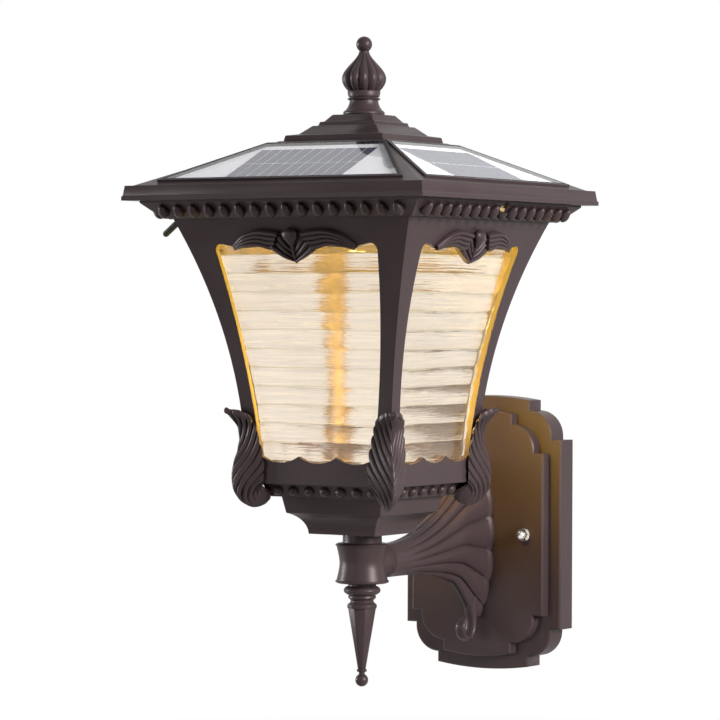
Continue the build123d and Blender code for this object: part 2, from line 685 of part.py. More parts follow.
def make_glass_pane():
    """Curved pane whose outer face rolls in level ribs."""
    valley = FRAME_WALL + SEAT_GAP + GLASS_RIB_RISE
    low = SILL_Z + FOOT_THICKNESS + SEAT_GAP
    high = BODY_TOP - GLASS_TOP_GAP
    ribs = round((high - low) / GLASS_RIB_PITCH)
    step = (high - low) / ribs
    inner = valley + GLASS_THICKNESS
    edges = [flare_arc(low, high, inner)]
    for i in range(ribs):
        z = low + i * step
        crest = (flare(z + step / 2, valley - GLASS_RIB_RISE), z + step / 2)
        edges.append(ThreePointArc((flare(z, valley), z), crest, (flare(z + step, valley), z + step)))
    for z in (low, high):
        edges.append(Line((flare(z, inner), z), (flare(z, valley), z)))
    pane = extrude(Plane.YZ * mirror(make_face(edges), Plane.YZ), EAVES_HALF, both=True)
    return pane & mitre_wedge(GLASS_EDGE_GAP)


def make_glass_clips():
    """Two angle clips inside each pane, standing on the foot flange."""
    seat = SILL_Z + FOOT_THICKNESS
    pane_half = flare(seat, FRAME_WALL + SEAT_GAP + GLASS_RIB_RISE + GLASS_THICKNESS)
    front = pane_half - ROD_CLEARANCE
    angle = Polyline(
        (-front, seat), (-front, seat + CLIP_LEG), (-front + CLIP_THICKNESS, seat + CLIP_LEG),
        (-front + CLIP_THICKNESS, seat + CLIP_THICKNESS), (-front + CLIP_FOOT, seat + CLIP_THICKNESS),
        (-front + CLIP_FOOT, seat), close=True)
    clip = extrude(Plane.YZ * make_face(angle), CLIP_WIDTH / 2, both=True)
    spots = [Pos(side * CLIP_OFFSET, 0, 0) for side in (1, -1)]
    return [Rot(0, 0, turn) * spot * clip for turn in SIDES.values() for spot in spots]


def make_lantern_block():
    """Plain solid of the flared lantern, used to trim what sits on it."""
    return square_form(make_face([
        flare_arc(SILL_Z, BODY_TOP),
        Line((flare(BODY_TOP), BODY_TOP), (0, BODY_TOP)),
        Line((0, BODY_TOP), (0, SILL_Z)),
        Line((0, SILL_Z), (SILL_HALF, SILL_Z)),
    ]))


def crest_wing(side, drop):
    """Feather of the crest between an upper bow and the arched lower edge."""
    tip = (side * CREST_HALF_SPAN, -CREST_ARCH)
    top = ThreePointArc(tip, (side * CREST_PEAK_AT, CREST_PEAK - drop), (0, CREST_ROOT - drop))
    low = ThreePointArc(tip, (side * CREST_HALF_SPAN / 2, -CREST_ARCH), (0, -CREST_POINT))
    return make_face([top, low, Line((0, CREST_ROOT - drop), (0, -CREST_POINT))])


def make_crest(lantern_block):
    """Pair of feathered wings with a knob and a fan between, laid on the head of a window."""
    z = BODY_TOP - CREST_DROP
    rise = (z - SILL_Z) / sqrt(FLARE_RADIUS ** 2 - (z - SILL_Z) ** 2)
    face = Plane((0, -flare(z), z), x_dir=(1, 0, 0), z_dir=(0, -1, -rise)).offset(-CREST_BEHIND)
    crest = None
    for layer in range(CREST_FEATHERS):
        height = CREST_BEHIND + CREST_THICKNESS + layer * CREST_FEATHER_RISE
        for side in (1, -1):
            feather = extrude(face * crest_wing(side, layer * CREST_FEATHER_STEP), height)
            crest = feather if crest is None else crest + feather
    full = CREST_BEHIND + CREST_THICKNESS + CREST_FEATHERS * CREST_FEATHER_RISE
    fan = Polyline((0, -CREST_POINT), (CREST_FAN_HALF, 0), (0, CREST_ROOT), (-CREST_FAN_HALF, 0), close=True)
    crest += extrude(face * make_face(fan), full)
    crest += extrude(face * Pos(0, CREST_PEAK - CREST_KNOB_RADIUS) * Circle(CREST_KNOB_RADIUS), full)
    return crest - lantern_block


def leaf_section(ridge, share):
    """Level section of the leaf, ridged outwards and wrapped round the corner behind."""
    swell = sin(pi * share ** LEAF_SWELL)
    half = LEAF_HALF_WIDTH * (LEAF_END_SHARE + (1 - LEAF_END_SHARE) * swell)
    wrap = LEAF_EDGE + (LEAF_WRAP - LEAF_EDGE) * sin(pi * share) ** LEAF_WRAP_POWER
    point = ridge @ share
    edge = point.X - wrap
    back = edge - LEAF_EDGE
    inner = half - LEAF_EDGE
    flank = [(edge, half), (back, inner), (back, -inner), (edge, -half)]
    return Pos(0, 0, point.Z) * make_face(Polyline((point.X, 0), *flank, close=True))


def make_leaf(lantern_block, rail):
    """Leaf that wraps a lower corner, curls out at its tip and hooks under the sill."""
    corner = SILL_HALF * sqrt(2)
    heel = SILL_Z - LEAF_HEEL_DROP
    ridge = Spline(
        (corner - LEAF_HEEL_IN, 0, heel),
        (corner + LEAF_BELLY_OUT, 0, SILL_Z + LEAF_BELLY_HEIGHT),
        (corner + LEAF_WAIST_OUT, 0, SILL_Z + LEAF_WAIST_HEIGHT),
        (corner + LEAF_TIP_OUT, 0, SILL_Z + LEAF_TIP_HEIGHT),
        tangents=[(1, 0, LEAF_HEEL_RISE), (LEAF_TIP_LEAN, 0, 1)],
    )
    leaf = loft([leaf_section(ridge, i / (LEAF_STATIONS - 1)) for i in range(LEAF_STATIONS)])
    toe = Sphere(LEAF_TOE_RADIUS)
    toe += Pos(LEAF_TOE_IN / 2, 0, 0) * Cylinder(LEAF_TOE_RADIUS, LEAF_TOE_IN, rotation=(0, 90, 0))
    leaf += Pos(corner - LEAF_TOE_IN, 0, heel + LEAF_TOE_RADIUS) * toe
    return Rot(0, 0, -45) * leaf - lantern_block - rail


def make_top_ring():
    """Flanged ring on the sides' upper edges, with an upstand inside the cornice."""
    outer = flare(BODY_TOP) - SEAT_GAP
    inner = flare(BODY_TOP, FRAME_WALL) - RING_IN
    ring = block(outer, outer, BODY_TOP, BODY_TOP + RING_FLANGE)
    ring += block(inner + RING_WALL, inner + RING_WALL, BODY_TOP, BODY_TOP + RING_HEIGHT)
    return ring - block(inner, inner, BODY_TOP - CUT, BODY_TOP + RING_HEIGHT + CUT)


def cornice_slope():
    """Foot and head of the cornice's sloping face, as (half width, height)."""
    foot_half = flare(BODY_TOP) + SEAT_GAP + CORNICE_LIP
    head_half = EAVES_HALF - CORNICE_OVERHANG
    return (foot_half, BODY_TOP), (head_half, EAVES_FOOT - CORNICE_WALL / 2)


def slope_plane(x):
    """Plane on the middle of the front cornice slope, facing outwards, and its upward direction."""
    (foot, low), (head, high) = cornice_slope()
    up = Vector(0, foot - head, high - low).normalized()
    out = Vector(0, -up.Z, up.Y)
    middle = (x, -(foot + head) / 2, (low + high) / 2)
    return Plane(middle, x_dir=(1, 0, 0), z_dir=out), up


def make_bead():
    """Teardrop bead about its long axis, pointed at the top."""
    radius = CORNICE_BEAD_RADIUS
    tip = CORNICE_BEAD_LENGTH - radius
    rings = [(radius * cos(a), radius * sin(a)) for a in (-pi * 0.42, -pi / 5, 0, pi / 8)]
    return faceted(rings + [(radius / BEAD_SIDES, tip)])


def switch_plane():
    """Plane of the toggle switch on the left slope of the cornice."""
    return slope_plane(SWITCH_FORWARD)[0]


def switch_pocket():
    """Room for the switch behind the cornice."""
    room = 2 * HOLE_CLEARANCE
    pocket = Pos(0, 0, -CORNICE_WALL - SWITCH_BODY_DEPTH / 2 - room)
    pocket = pocket * Box(SWITCH_BODY_LENGTH + room, SWITCH_BODY_WIDTH + room, SWITCH_BODY_DEPTH + 2 * room)
    return Rot(0, 0, SIDES["left"]) * along(switch_plane(), pocket)


def screw_half():
    """Half width at which a brass screw's head seats in the cornice."""
    (foot, low), (head, high) = cornice_slope()
    z = EAVES_FOOT - SIDE_SCREW_DROP
    return foot + (head - foot) * (z - low) / (high - low) - CORNICE_WALL


def at_side_screw(shape):
    """A shape that points inwards along +Y, set at the screw of each flank."""
    along_side = CORNICE_BEAD_PITCH / 2
    place = Pos(along_side, -screw_half(), EAVES_FOOT - SIDE_SCREW_DROP) * Rot(-90, 0, 0)
    mirrored = Pos(-along_side, -screw_half(), EAVES_FOOT - SIDE_SCREW_DROP) * Rot(-90, 0, 0)
    return [Rot(0, 0, SIDES["right"]) * place * shape, Rot(0, 0, SIDES["left"]) * mirrored * shape]


def make_cornice():
    """Channel under the eaves with a sloping beaded face, a ledge inside and a flange above."""
    (foot, low), (head, high) = cornice_slope()
    lip = foot - CORNICE_LIP
    ledge_low = BODY_TOP + RING_FLANGE + SEAT_GAP
    ledge_high = ledge_low + CORNICE_WALL
    ledge_half = flare(BODY_TOP, FRAME_WALL)
    wall = CORNICE_WALL * sqrt(2)
    slant = (head - foot) / (high - low)
    flange_low = EAVES_FOOT - CORNICE_WALL
    section = Polyline(
        (lip, low), (foot, low), (head, high), (head, EAVES_FOOT),
        (head - CORNICE_FLANGE, EAVES_FOOT), (head - CORNICE_FLANGE, flange_low),
        (foot + (flange_low - low) * slant - wall, flange_low),
        (foot + (ledge_high - low) * slant - wall, ledge_high),
        (ledge_half, ledge_high), (ledge_half, ledge_low), (lip, ledge_low), close=True)
    side = extrude(Plane.YZ * mirror(make_face(section), Plane.YZ), EAVES_HALF, both=True)
    side &= mitre_wedge()
    cornice = side.fuse(*[Rot(0, 0, turn) * side for turn in SIDES.values() if turn])
    beads = []
    bead = make_bead()
    switch_room = SWITCH_NUT_FLATS / sqrt(3) + CORNICE_BEAD_RADIUS + HOLE_CLEARANCE
    for name, turn in SIDES.items():
        for i in range(CORNICE_BEADS):
            x = (i - (CORNICE_BEADS - 1) / 2) * CORNICE_BEAD_PITCH
            if name != "left" or abs(x - SWITCH_FORWARD) > switch_room:
                plane, up = slope_plane(x)
                centre = plane.origin - up * CORNICE_BEAD_DROP + plane.z_dir * CORNICE_BEAD_PROUD
                beads.append(Rot(0, 0, turn) * along(Plane(centre, x_dir=(1, 0, 0), z_dir=up), bead))
    cornice = cornice.fuse(*beads)
    for hole in at_side_screw(rod(SIDE_SCREW_RADIUS + HOLE_CLEARANCE, -EAVES_HEIGHT, 2 * EAVES_HEIGHT)):
        cornice -= hole
    for seat in at_side_screw(rod(SIDE_SCREW_HEAD_RADIUS + HOLE_CLEARANCE, -EAVES_HEIGHT, 0)):
        cornice -= seat
    bore = rod(SWITCH_RADIUS + HOLE_CLEARANCE, -2 * CORNICE_WALL, CORNICE_BEAD_LENGTH)
    cornice -= Rot(0, 0, SIDES["left"]) * along(switch_plane(), bore)
    drill = rod(TRAY_SCREW_RADIUS + HOLE_CLEARANCE, flange_low - CUT, EAVES_FOOT + CUT)
    for hole in at_cornice_screw(drill):
        cornice -= hole
    return cornice - switch_pocket()


def at_cornice_screw(shape):
    """Copies of an upright shape, two a side, at the cornice's flange."""
    half = EAVES_HALF - CORNICE_OVERHANG - CORNICE_SCREW_IN
    spots = [Pos(side * half / 3, -half, 0) for side in (1, -1)]
    return [Rot(0, 0, turn) * spot * shape for turn in SIDES.values() for spot in spots]


def make_cornice_screws():
    """Screws up through the cornice's flange into the soffit."""
    seat = EAVES_FOOT - CORNICE_WALL
    screw = rod(TRAY_SCREW_RADIUS, seat, EAVES_FOOT + SOFFIT_THICKNESS)
    screw += rod(TRAY_SCREW_RADIUS * SCREW_HEAD_RATIO, seat - SCREW_HEAD_HEIGHT, seat)
    return at_cornice_screw(screw)


def make_side_screws():
    """Brass screws through the cornice that bear on the ring's upstand."""
    upstand = flare(BODY_TOP, FRAME_WALL) - RING_IN + RING_WALL
    screw = rod(SIDE_SCREW_RADIUS, 0, screw_half() - upstand - SEAT_GAP)
    screw += rod(SIDE_SCREW_HEAD_RADIUS, -SIDE_SCREW_HEAD_HEIGHT, 0)
    slot = Box(2 * SIDE_SCREW_HEAD_RADIUS, SIDE_SCREW_SLOT, 2 * SIDE_SCREW_SLOT_DEPTH)
    screw -= Pos(0, 0, -SIDE_SCREW_HEAD_HEIGHT) * slot
    return at_side_screw(screw)


def roof_z(half):
    """Height of the roof's slope at a half width."""
    return EAVES_TOP + (SLOPE_FOOT_HALF - half) * ROOF_SLOPE


def panel_plane():
    """Plane of the front panel's face at its middle, and the panel's length up the slope."""
    low = EAVES_TOP_HALF - PANEL_EAVES_GAP
    high = ROOF_TOP_HALF + PANEL_CAP_GAP
    middle = (low + high) / 2
    stretch = sqrt(1 + ROOF_SLOPE ** 2)
    face_z = roof_z(middle) + PANEL_STAND * stretch
    plane = Plane((0, -middle, face_z), x_dir=(1, 0, 0), z_dir=(0, -ROOF_SLOPE, 1))
    return plane, (low - high) * stretch


def panel_outline(inset):
    """Trapezoid of a panel, set in all round."""
    length = panel_plane()[1]
    foot, head = PANEL_FOOT_HALF, PANEL_HEAD_HALF
    low, high = -length / 2, length / 2
    outline = make_face(Polyline((-foot, low), (foot, low), (head, high), (-head, high), close=True))
    return offset(outline, -inset, kind=Kind.INTERSECTION) if inset else outline


def panel_layer(outline, low, high):
    """Layer of the panel between two depths under its face."""
    plane = panel_plane()[0]
    return extrude(plane.offset(-low) * outline, low - high)


def make_panel_glass():
    """Cover glass of a panel."""
    return panel_layer(panel_outline(PANEL_SEAL), PANEL_GLASS, 0)


def make_panel_sheet():
    """White back sheet on the recess floor."""
    return panel_layer(panel_outline(PANEL_SEAL), PANEL_DEPTH, PANEL_GLASS + PANEL_CELL)


def make_panel_cells():
    """Rows of cells between the back sheet and the glass."""
    width = CELL_BLOCK_WIDTH / CELL_COLUMNS
    height = CELL_BLOCK_HEIGHT / CELL_ROWS
    cell = Rectangle(width - CELL_GAP, height - CELL_GAP)
    cells = []
    for row in range(CELL_ROWS):
        for column in range(CELL_COLUMNS):
            up = (row - (CELL_ROWS - 1) / 2) * height - CELL_BLOCK_DROP
            spot = Pos((column - (CELL_COLUMNS - 1) / 2) * width, up)
            cells.append(panel_layer(spot * cell, PANEL_GLASS + PANEL_CELL, PANEL_GLASS))
    return cells


def make_panel_seal():
    """Black seal round a panel."""
    return panel_layer(panel_outline(0) - panel_outline(PANEL_SEAL), PANEL_DEPTH, 0)


def make_roof_frame():
    """Hollow hipped roof with an eaves band, a soffit, four rimmed panel recesses and four posts."""
    lip_top = EAVES_FOOT + EAVES_LIP_HEIGHT
    roof = square_form(half_profile(
        (EAVES_HALF, EAVES_FOOT), (EAVES_HALF, lip_top),
        (EAVES_HALF - EAVES_LIP_STEP, lip_top + EAVES_LIP_STEP),
        (EAVES_TOP_HALF, EAVES_TOP), (SLOPE_FOOT_HALF, EAVES_TOP), (ROOF_TOP_HALF, ROOF_TOP)))
    soffit_top = EAVES_FOOT + SOFFIT_THICKNESS
    inside = EAVES_TOP_HALF - EAVES_WALL
    roof -= square_form(half_profile(
        (inside, soffit_top), (inside, roof_z(inside) - ROOF_SHELL), (ROOF_TOP_HALF, ROOF_TOP - ROOF_SHELL)))
    opening = EAVES_HALF - SOFFIT_WIDTH
    roof -= block(opening, opening, EAVES_FOOT - CUT, soffit_top + CUT)
    rim = panel_layer(panel_outline(-PANEL_RIM), PANEL_DEPTH, 0)
    post_top = roof_z(POST_OFFSET) - ROOF_SHELL / 2
    grip = TRAY_TOP + TRAY_SCREW_GRIP + CUT
    for turn in SIDES.values():
        roof += Rot(0, 0, turn) * rim
    for post in at_post(rod(POST_RADIUS, TRAY_TOP, post_top)):
        roof += post
    for hole in at_post(rod(TRAY_SCREW_RADIUS + ROD_CLEARANCE, TRAY_TOP - CUT, grip)):
        roof -= hole
    recess = panel_layer(panel_outline(0), PANEL_DEPTH, -PANEL_GLASS)
    for turn in SIDES.values():
        roof -= Rot(0, 0, turn) * recess
    for screw in at_cornice_screw(rod(TRAY_SCREW_RADIUS + ROD_CLEARANCE, EAVES_FOOT - CUT, soffit_top + CUT)):
        roof -= screw
    roof -= rod(FINIAL_STUD_RADIUS + HOLE_CLEARANCE, ROOF_TOP - 2 * ROOF_SHELL, ROOF_TOP + CUT)
    return roof - switch_pocket()


def make_cap():
    """Stepped cap on the roof, hollow below."""
    z1 = ROOF_TOP + CAP_FOOT_HEIGHT
    z2 = z1 + CAP_STEP_RISE
    z3 = z2 + CAP_MID_RISE
    z4 = CAP_NECK_Z + CAP_NECK_RISE
    neck_top = CAP_NECK_HALF - CAP_NECK_DRAFT
    cap = square_form(half_profile(
        (CAP_FOOT_HALF, ROOF_TOP), (CAP_FOOT_HALF - CAP_FOOT_DRAFT, z1), (CAP_STEP_HALF, z2),
        (CAP_MID_HALF, z3), (CAP_NECK_HALF, CAP_NECK_Z), (neck_top, z4),
        (CAP_SHOULDER_HALF, z4 + CAP_LEDGE_RISE), (CAP_TOP_HALF, CAP_TOP)))
    cap -= square_form(half_profile(
        (CAP_STEP_HALF - CAP_WALL, ROOF_TOP - CUT), (CAP_STEP_HALF - CAP_WALL, z1),
        (CAP_MID_HALF - CAP_WALL, z3 - CAP_WALL), (CAP_TOP_HALF - CAP_WALL, CAP_TOP - CAP_WALL)))
    return cap - rod(FINIAL_STUD_RADIUS + HOLE_CLEARANCE, ROOF_TOP, CAP_TOP + CUT)


def lobed_section(radius, z):
    """Ring of round lobes at a height."""
    edges = []
    valley = radius * (1 - FINIAL_LOBE_DEPTH)
    step = 2 * pi / FINIAL_LOBES
    for i in range(FINIAL_LOBES):
        ends = [(valley * cos(a), valley * sin(a)) for a in (i * step, (i + 1) * step)]
        crest = (radius * cos((i + 0.5) * step), radius * sin((i + 0.5) * step))
        edges.append(ThreePointArc(ends[0], crest, ends[1]))
    return Pos(0, 0, z) * make_face(edges)


def bulb_radius(share):
    """Radius of the onion bulb at a share of its height, widest at a third."""
    widest = FINIAL_BULB_WIDEST
    if share < widest:
        return FINIAL_BULB_RADIUS * (1 - FINIAL_BULB_TUCK * ((widest - share) / widest) ** 2)
    fall = max(0.0, cos(pi / 2 * (share - widest) / (1 - widest))) ** FINIAL_BULB_TAPER
    return FINIAL_TIP_RADIUS + (FINIAL_BULB_RADIUS - FINIAL_TIP_RADIUS) * fall


def make_top_finial():
    """Turned foot and collar, a lobed onion bulb and a ball."""
    foot_top = CAP_TOP + FINIAL_FOOT_HEIGHT
    waist = CAP_TOP + FINIAL_WAIST_HEIGHT
    collar_top = waist + FINIAL_COLLAR_HEIGHT
    bulb_top = collar_top + FINIAL_BULB_HEIGHT
    lip = waist + FINIAL_COLLAR_LIP
    bend = ((FINIAL_FOOT_RADIUS + FINIAL_WAIST_RADIUS) / 2 - FINIAL_COLLAR_LIP, (foot_top + waist) / 2)
    finial = turned(
        Line((0, CAP_TOP), (FINIAL_FOOT_RADIUS, CAP_TOP)),
        Line((FINIAL_FOOT_RADIUS, CAP_TOP), (FINIAL_FOOT_RADIUS, foot_top)),
        ThreePointArc((FINIAL_FOOT_RADIUS, foot_top), bend, (FINIAL_WAIST_RADIUS, waist)),
        Line((FINIAL_WAIST_RADIUS, waist), (FINIAL_COLLAR_RADIUS, lip)),
        Line((FINIAL_COLLAR_RADIUS, lip), (FINIAL_COLLAR_RADIUS, collar_top)),
        Line((FINIAL_COLLAR_RADIUS, collar_top), (0, collar_top)),
        Line((0, collar_top), (0, CAP_TOP)),
    )
    shares = [i / (FINIAL_STATIONS - 1) for i in range(FINIAL_STATIONS)]
    finial += loft([lobed_section(bulb_radius(s), collar_top + s * FINIAL_BULB_HEIGHT) for s in shares])
    finial += Pos(0, 0, bulb_top + FINIAL_BALL_RADIUS - FINIAL_BALL_SINK) * Sphere(FINIAL_BALL_RADIUS)
    grip = CAP_TOP + FINIAL_STUD_GRIP + CUT
    return finial - rod(FINIAL_STUD_RADIUS + ROD_CLEARANCE, CAP_TOP - CUT, grip)


def make_finial_stud():
    """Stud that holds the finial and the cap to the roof."""
    low = ROOF_TOP - ROOF_SHELL - FINIAL_NUT_HEIGHT - FINIAL_STUD_RADIUS
    return rod(FINIAL_STUD_RADIUS, low, CAP_TOP + FINIAL_STUD_GRIP)


def make_finial_nut():
    """Nut under the roof's crown."""
    low = ROOF_TOP - ROOF_SHELL - FINIAL_NUT_HEIGHT
    nut = Pos(0, 0, low) * hexagon(FINIAL_NUT_FLATS, FINIAL_NUT_HEIGHT)
    return nut - rod(FINIAL_STUD_RADIUS + ROD_CLEARANCE, low - CUT, ROOF_TOP)


def at_post(shape):
    """Copies of an upright shape at the four posts of the roof."""
    return [Rot(0, 0, turn) * Pos(POST_OFFSET, -POST_OFFSET, 0) * shape for turn in SIDES.values()]


def at_board_corner(shape):
    """Copies of an upright shape near the corners of the control board."""
    x = BOARD_LENGTH / 2 - BOARD_STANDOFF
    y = BOARD_WIDTH / 2 - BOARD_STANDOFF
    return [Pos(sx * x, sy * y - BOARD_OFFSET, 0) * shape for sx in (1, -1) for sy in (1, -1)]


def make_tray():
    """Plate that closes the roof below, with standoffs for the control board."""
    tray = block(TRAY_HALF, TRAY_HALF, TRAY_TOP - TRAY_THICKNESS, TRAY_TOP)
    for boss in at_board_corner(rod(BOARD_STANDOFF / 2, TRAY_TOP - CUT, TRAY_TOP + BOARD_STANDOFF)):
        tray += boss
    low = TRAY_TOP - TRAY_THICKNESS - CUT
    for hole in at_post(rod(TRAY_SCREW_RADIUS + HOLE_CLEARANCE, low, TRAY_TOP + CUT)):
        tray -= hole
    return tray


def make_tray_screws():
    """Screws up through the tray into the posts."""
    seat = TRAY_TOP - TRAY_THICKNESS
    screw = rod(TRAY_SCREW_RADIUS, seat, TRAY_TOP + TRAY_SCREW_GRIP)
    screw += rod(TRAY_SCREW_RADIUS * SCREW_HEAD_RATIO, seat - SCREW_HEAD_HEIGHT, seat)
    return at_post(screw)


def battery_cell(side, radius, length):
    """Round cell lying along X in one of the holder's two bays."""
    z = TRAY_TOP + HOLDER_WALL + BATTERY_RADIUS + ROD_CLEARANCE
    y = HOLDER_OFFSET + side * (BATTERY_RADIUS + HOLDER_WALL / 2 + ROD_CLEARANCE)
    return Pos(0, y, z) * Cylinder(radius, length, rotation=(0, 90, 0))


def make_battery_holder():
    """Two-bay holder on the tray."""
    half_x = BATTERY_LENGTH / 2 + HOLDER_WALL + ROD_CLEARANCE
    half_y = 2 * BATTERY_RADIUS + 1.5 * HOLDER_WALL + 2 * ROD_CLEARANCE
    top = TRAY_TOP + HOLDER_WALL + BATTERY_RADIUS
    holder = Pos(0, HOLDER_OFFSET, 0) * block(half_x, half_y, TRAY_TOP, top)
    for side in (1, -1):
        holder -= battery_cell(side, BATTERY_RADIUS + ROD_CLEARANCE, BATTERY_LENGTH + 2 * ROD_CLEARANCE)
    return holder


def make_control_board():
    """Charge controller board on the tray's standoffs."""
    low = TRAY_TOP + BOARD_STANDOFF
    return Pos(0, -BOARD_OFFSET, 0) * block(BOARD_LENGTH / 2, BOARD_WIDTH / 2, low, low + BOARD_THICKNESS)


def make_board_components():
    """Coil, capacitor, controller and connector on the board."""
    top = TRAY_TOP + BOARD_STANDOFF + BOARD_THICKNESS
    step = BOARD_LENGTH / 4
    coil = rod(COIL_RADIUS, top, top + COIL_HEIGHT)
    capacitor = rod(CAPACITOR_RADIUS, top, top + CAPACITOR_HEIGHT)
    chip = block(CHIP_HALF, CHIP_HALF, top, top + CHIP_HEIGHT)
    plug = block(PLUG_WIDTH / 2, PLUG_LENGTH / 2, top, top + PLUG_HEIGHT)
    pieces = [coil, capacitor, chip, plug]
    return [Pos((i - 1.5) * step, -BOARD_OFFSET, 0) * piece for i, piece in enumerate(pieces)]


def make_led_board():
    """Square lamp board under the tray."""
    low = TRAY_TOP - TRAY_THICKNESS - BOARD_THICKNESS
    return block(LED_BOARD_HALF, LED_BOARD_HALF, low, low + BOARD_THICKNESS)


def make_led_chips():
    """Grid of lamp chips under the lamp board."""
    low = TRAY_TOP - TRAY_THICKNESS - BOARD_THICKNESS - LED_HEIGHT
    chip = block(LED_SIZE / 2, LED_SIZE / 2, low, low + LED_HEIGHT)
    spots = [(i - (LED_COUNT - 1) / 2) * LED_PITCH for i in range(LED_COUNT)]
    return [Pos(x, y, 0) * chip for x in spots for y in spots]


def on_switch(shape):
    """Shape carried from its own upright axis to the switch on the left of the cornice."""
    return Rot(0, 0, SIDES["left"]) * along(switch_plane(), shape)


def switch_pivot():
    """Height of the lever's pivot above the cornice's slope."""
    return SWITCH_STICKOUT - LEVER_BALL_RADIUS


def make_switch_body():
    """Body of the toggle switch behind the slope."""
    top = -CORNICE_WALL
    return on_switch(block(SWITCH_BODY_LENGTH / 2, SWITCH_BODY_WIDTH / 2, top - SWITCH_BODY_DEPTH, top))


def make_switch_bushing():
    """Threaded bushing with a socket and a flared mouth for the lever."""
    ball = LEVER_BALL_RADIUS + SEAT_GAP
    bushing = rod(SWITCH_RADIUS, -CORNICE_WALL, SWITCH_STICKOUT)
    bushing -= Pos(0, 0, switch_pivot()) * Sphere(ball)
    mouth = SWITCH_STICKOUT - switch_pivot()
    bushing -= Pos(0, 0, switch_pivot() + mouth / 2) * Cone(SWITCH_MOUTH_ROOT, SWITCH_MOUTH_RADIUS, mouth)
    return on_switch(bushing)


def make_switch_nut():
    """Nut that clamps the bushing to the cornice."""
    nut = hexagon(SWITCH_NUT_FLATS, SWITCH_NUT_HEIGHT)
    return on_switch(nut - rod(SWITCH_RADIUS + ROD_CLEARANCE, -CUT, SWITCH_NUT_HEIGHT + CUT))


def make_switch_lever():
    """Straight lever with a ball at its pivot and a narrow neck, tilted up at rest."""
    lever = Sphere(LEVER_BALL_RADIUS)
    lever += Pos(0, 0, LEVER_NECK / 2) * Cone(LEVER_ROOT_RADIUS, LEVER_TIP_RADIUS, LEVER_NECK)
    lever += rod(LEVER_TIP_RADIUS, LEVER_NECK, LEVER_LENGTH)
    lever += Pos(0, 0, LEVER_LENGTH) * Sphere(LEVER_TIP_RADIUS)
    return on_switch(Pos(0, 0, switch_pivot()) * Rot(-LEVER_TILT, 0, 0) * lever)


def build():
    """Make every node and write it."""
    os.makedirs("parts", exist_ok=True)
    save("wall_plate", make_wall_plate())
    save("mounting_bar", make_mounting_bar())
    save("mounting_studs", *make_studs())
    save("nut_washers", *make_nut_washers())
    save("cap_nuts", *make_cap_nuts())
    save("arm_screws", *make_arm_screws())
    save("wall_arm", make_arm())
    block_solid = make_lantern_block()
    rail = make_rail()
    lantern = {
        "collar": [make_collar()],
        "neck_spacer": [make_neck()],
        "drop_finial": [make_drop_finial()],
        "threaded_rod": [make_rod()],
        "rod_washer": [make_rod_washer()],
        "rod_nut": [make_rod_nut()],
        "base_pan": [make_pan()],
        "beaded_rail": [rail],
        "glass_clips": make_glass_clips(),
        "top_ring": [make_top_ring()],
        "cornice": [make_cornice()],
        "cornice_screws": make_cornice_screws(),
        "side_screws": make_side_screws(),
        "roof_frame": [make_roof_frame()],
        "roof_cap": [make_cap()],
        "top_finial": [make_top_finial()],
        "finial_stud": [make_finial_stud()],
        "finial_nut": [make_finial_nut()],
        "roof_tray": [make_tray()],
        "tray_screws": make_tray_screws(),
        "battery_holder": [make_battery_holder()],
        "battery_cells": [battery_cell(side, BATTERY_RADIUS, BATTERY_LENGTH) for side in (1, -1)],
        "control_board": [make_control_board()],
        "board_components": make_board_components(),
        "led_board": [make_led_board()],
        "led_chips": make_led_chips(),
        "switch_body": [make_switch_body()],
        "switch_bushing": [make_switch_bushing()],
        "switch_nut": [make_switch_nut()],
        "switch_lever": [make_switch_lever()],
    }
    per_side = {
        "side_frame": [make_side_frame()],
        "glass_pane": [make_glass_pane()],
        "window_crest": [make_crest(block_solid)],
        "solar_glass": [make_panel_glass()],
    }
    for side, turn in SIDES.items():
        for name, solids in per_side.items():
            lantern[name + "_" + side] = [Rot(0, 0, turn) * solid for solid in solids]
    all_round = {
        "solar_cells": make_panel_cells(),
        "solar_backings": [make_panel_sheet()],
        "panel_seals": [make_panel_seal()],
    }
    for name, solids in all_round.items():
        lantern[name] = [Rot(0, 0, turn) * solid for turn in SIDES.values() for solid in solids]
    leaf = make_leaf(block_solid, rail)
    for corner, turn in CORNERS.items():
        lantern["corner_leaf_" + corner] = [Rot(0, 0, turn) * leaf]
    for name, solids in lantern.items():
        save(name, *[LANTERN * solid for solid in solids])


build()
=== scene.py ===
import json
import logging
from dataclasses import dataclass, field
from enum import Enum
from math import atan2, cos, exp, pi, radians, sin, sqrt
from typing import Any, Callable, NamedTuple, Sequence

import bmesh
import bpy
from bmesh.types import BMesh
from bpy.types import Material, Node, NodeSocket, NodeTree, Object
from mathutils import Matrix, Vector, noise


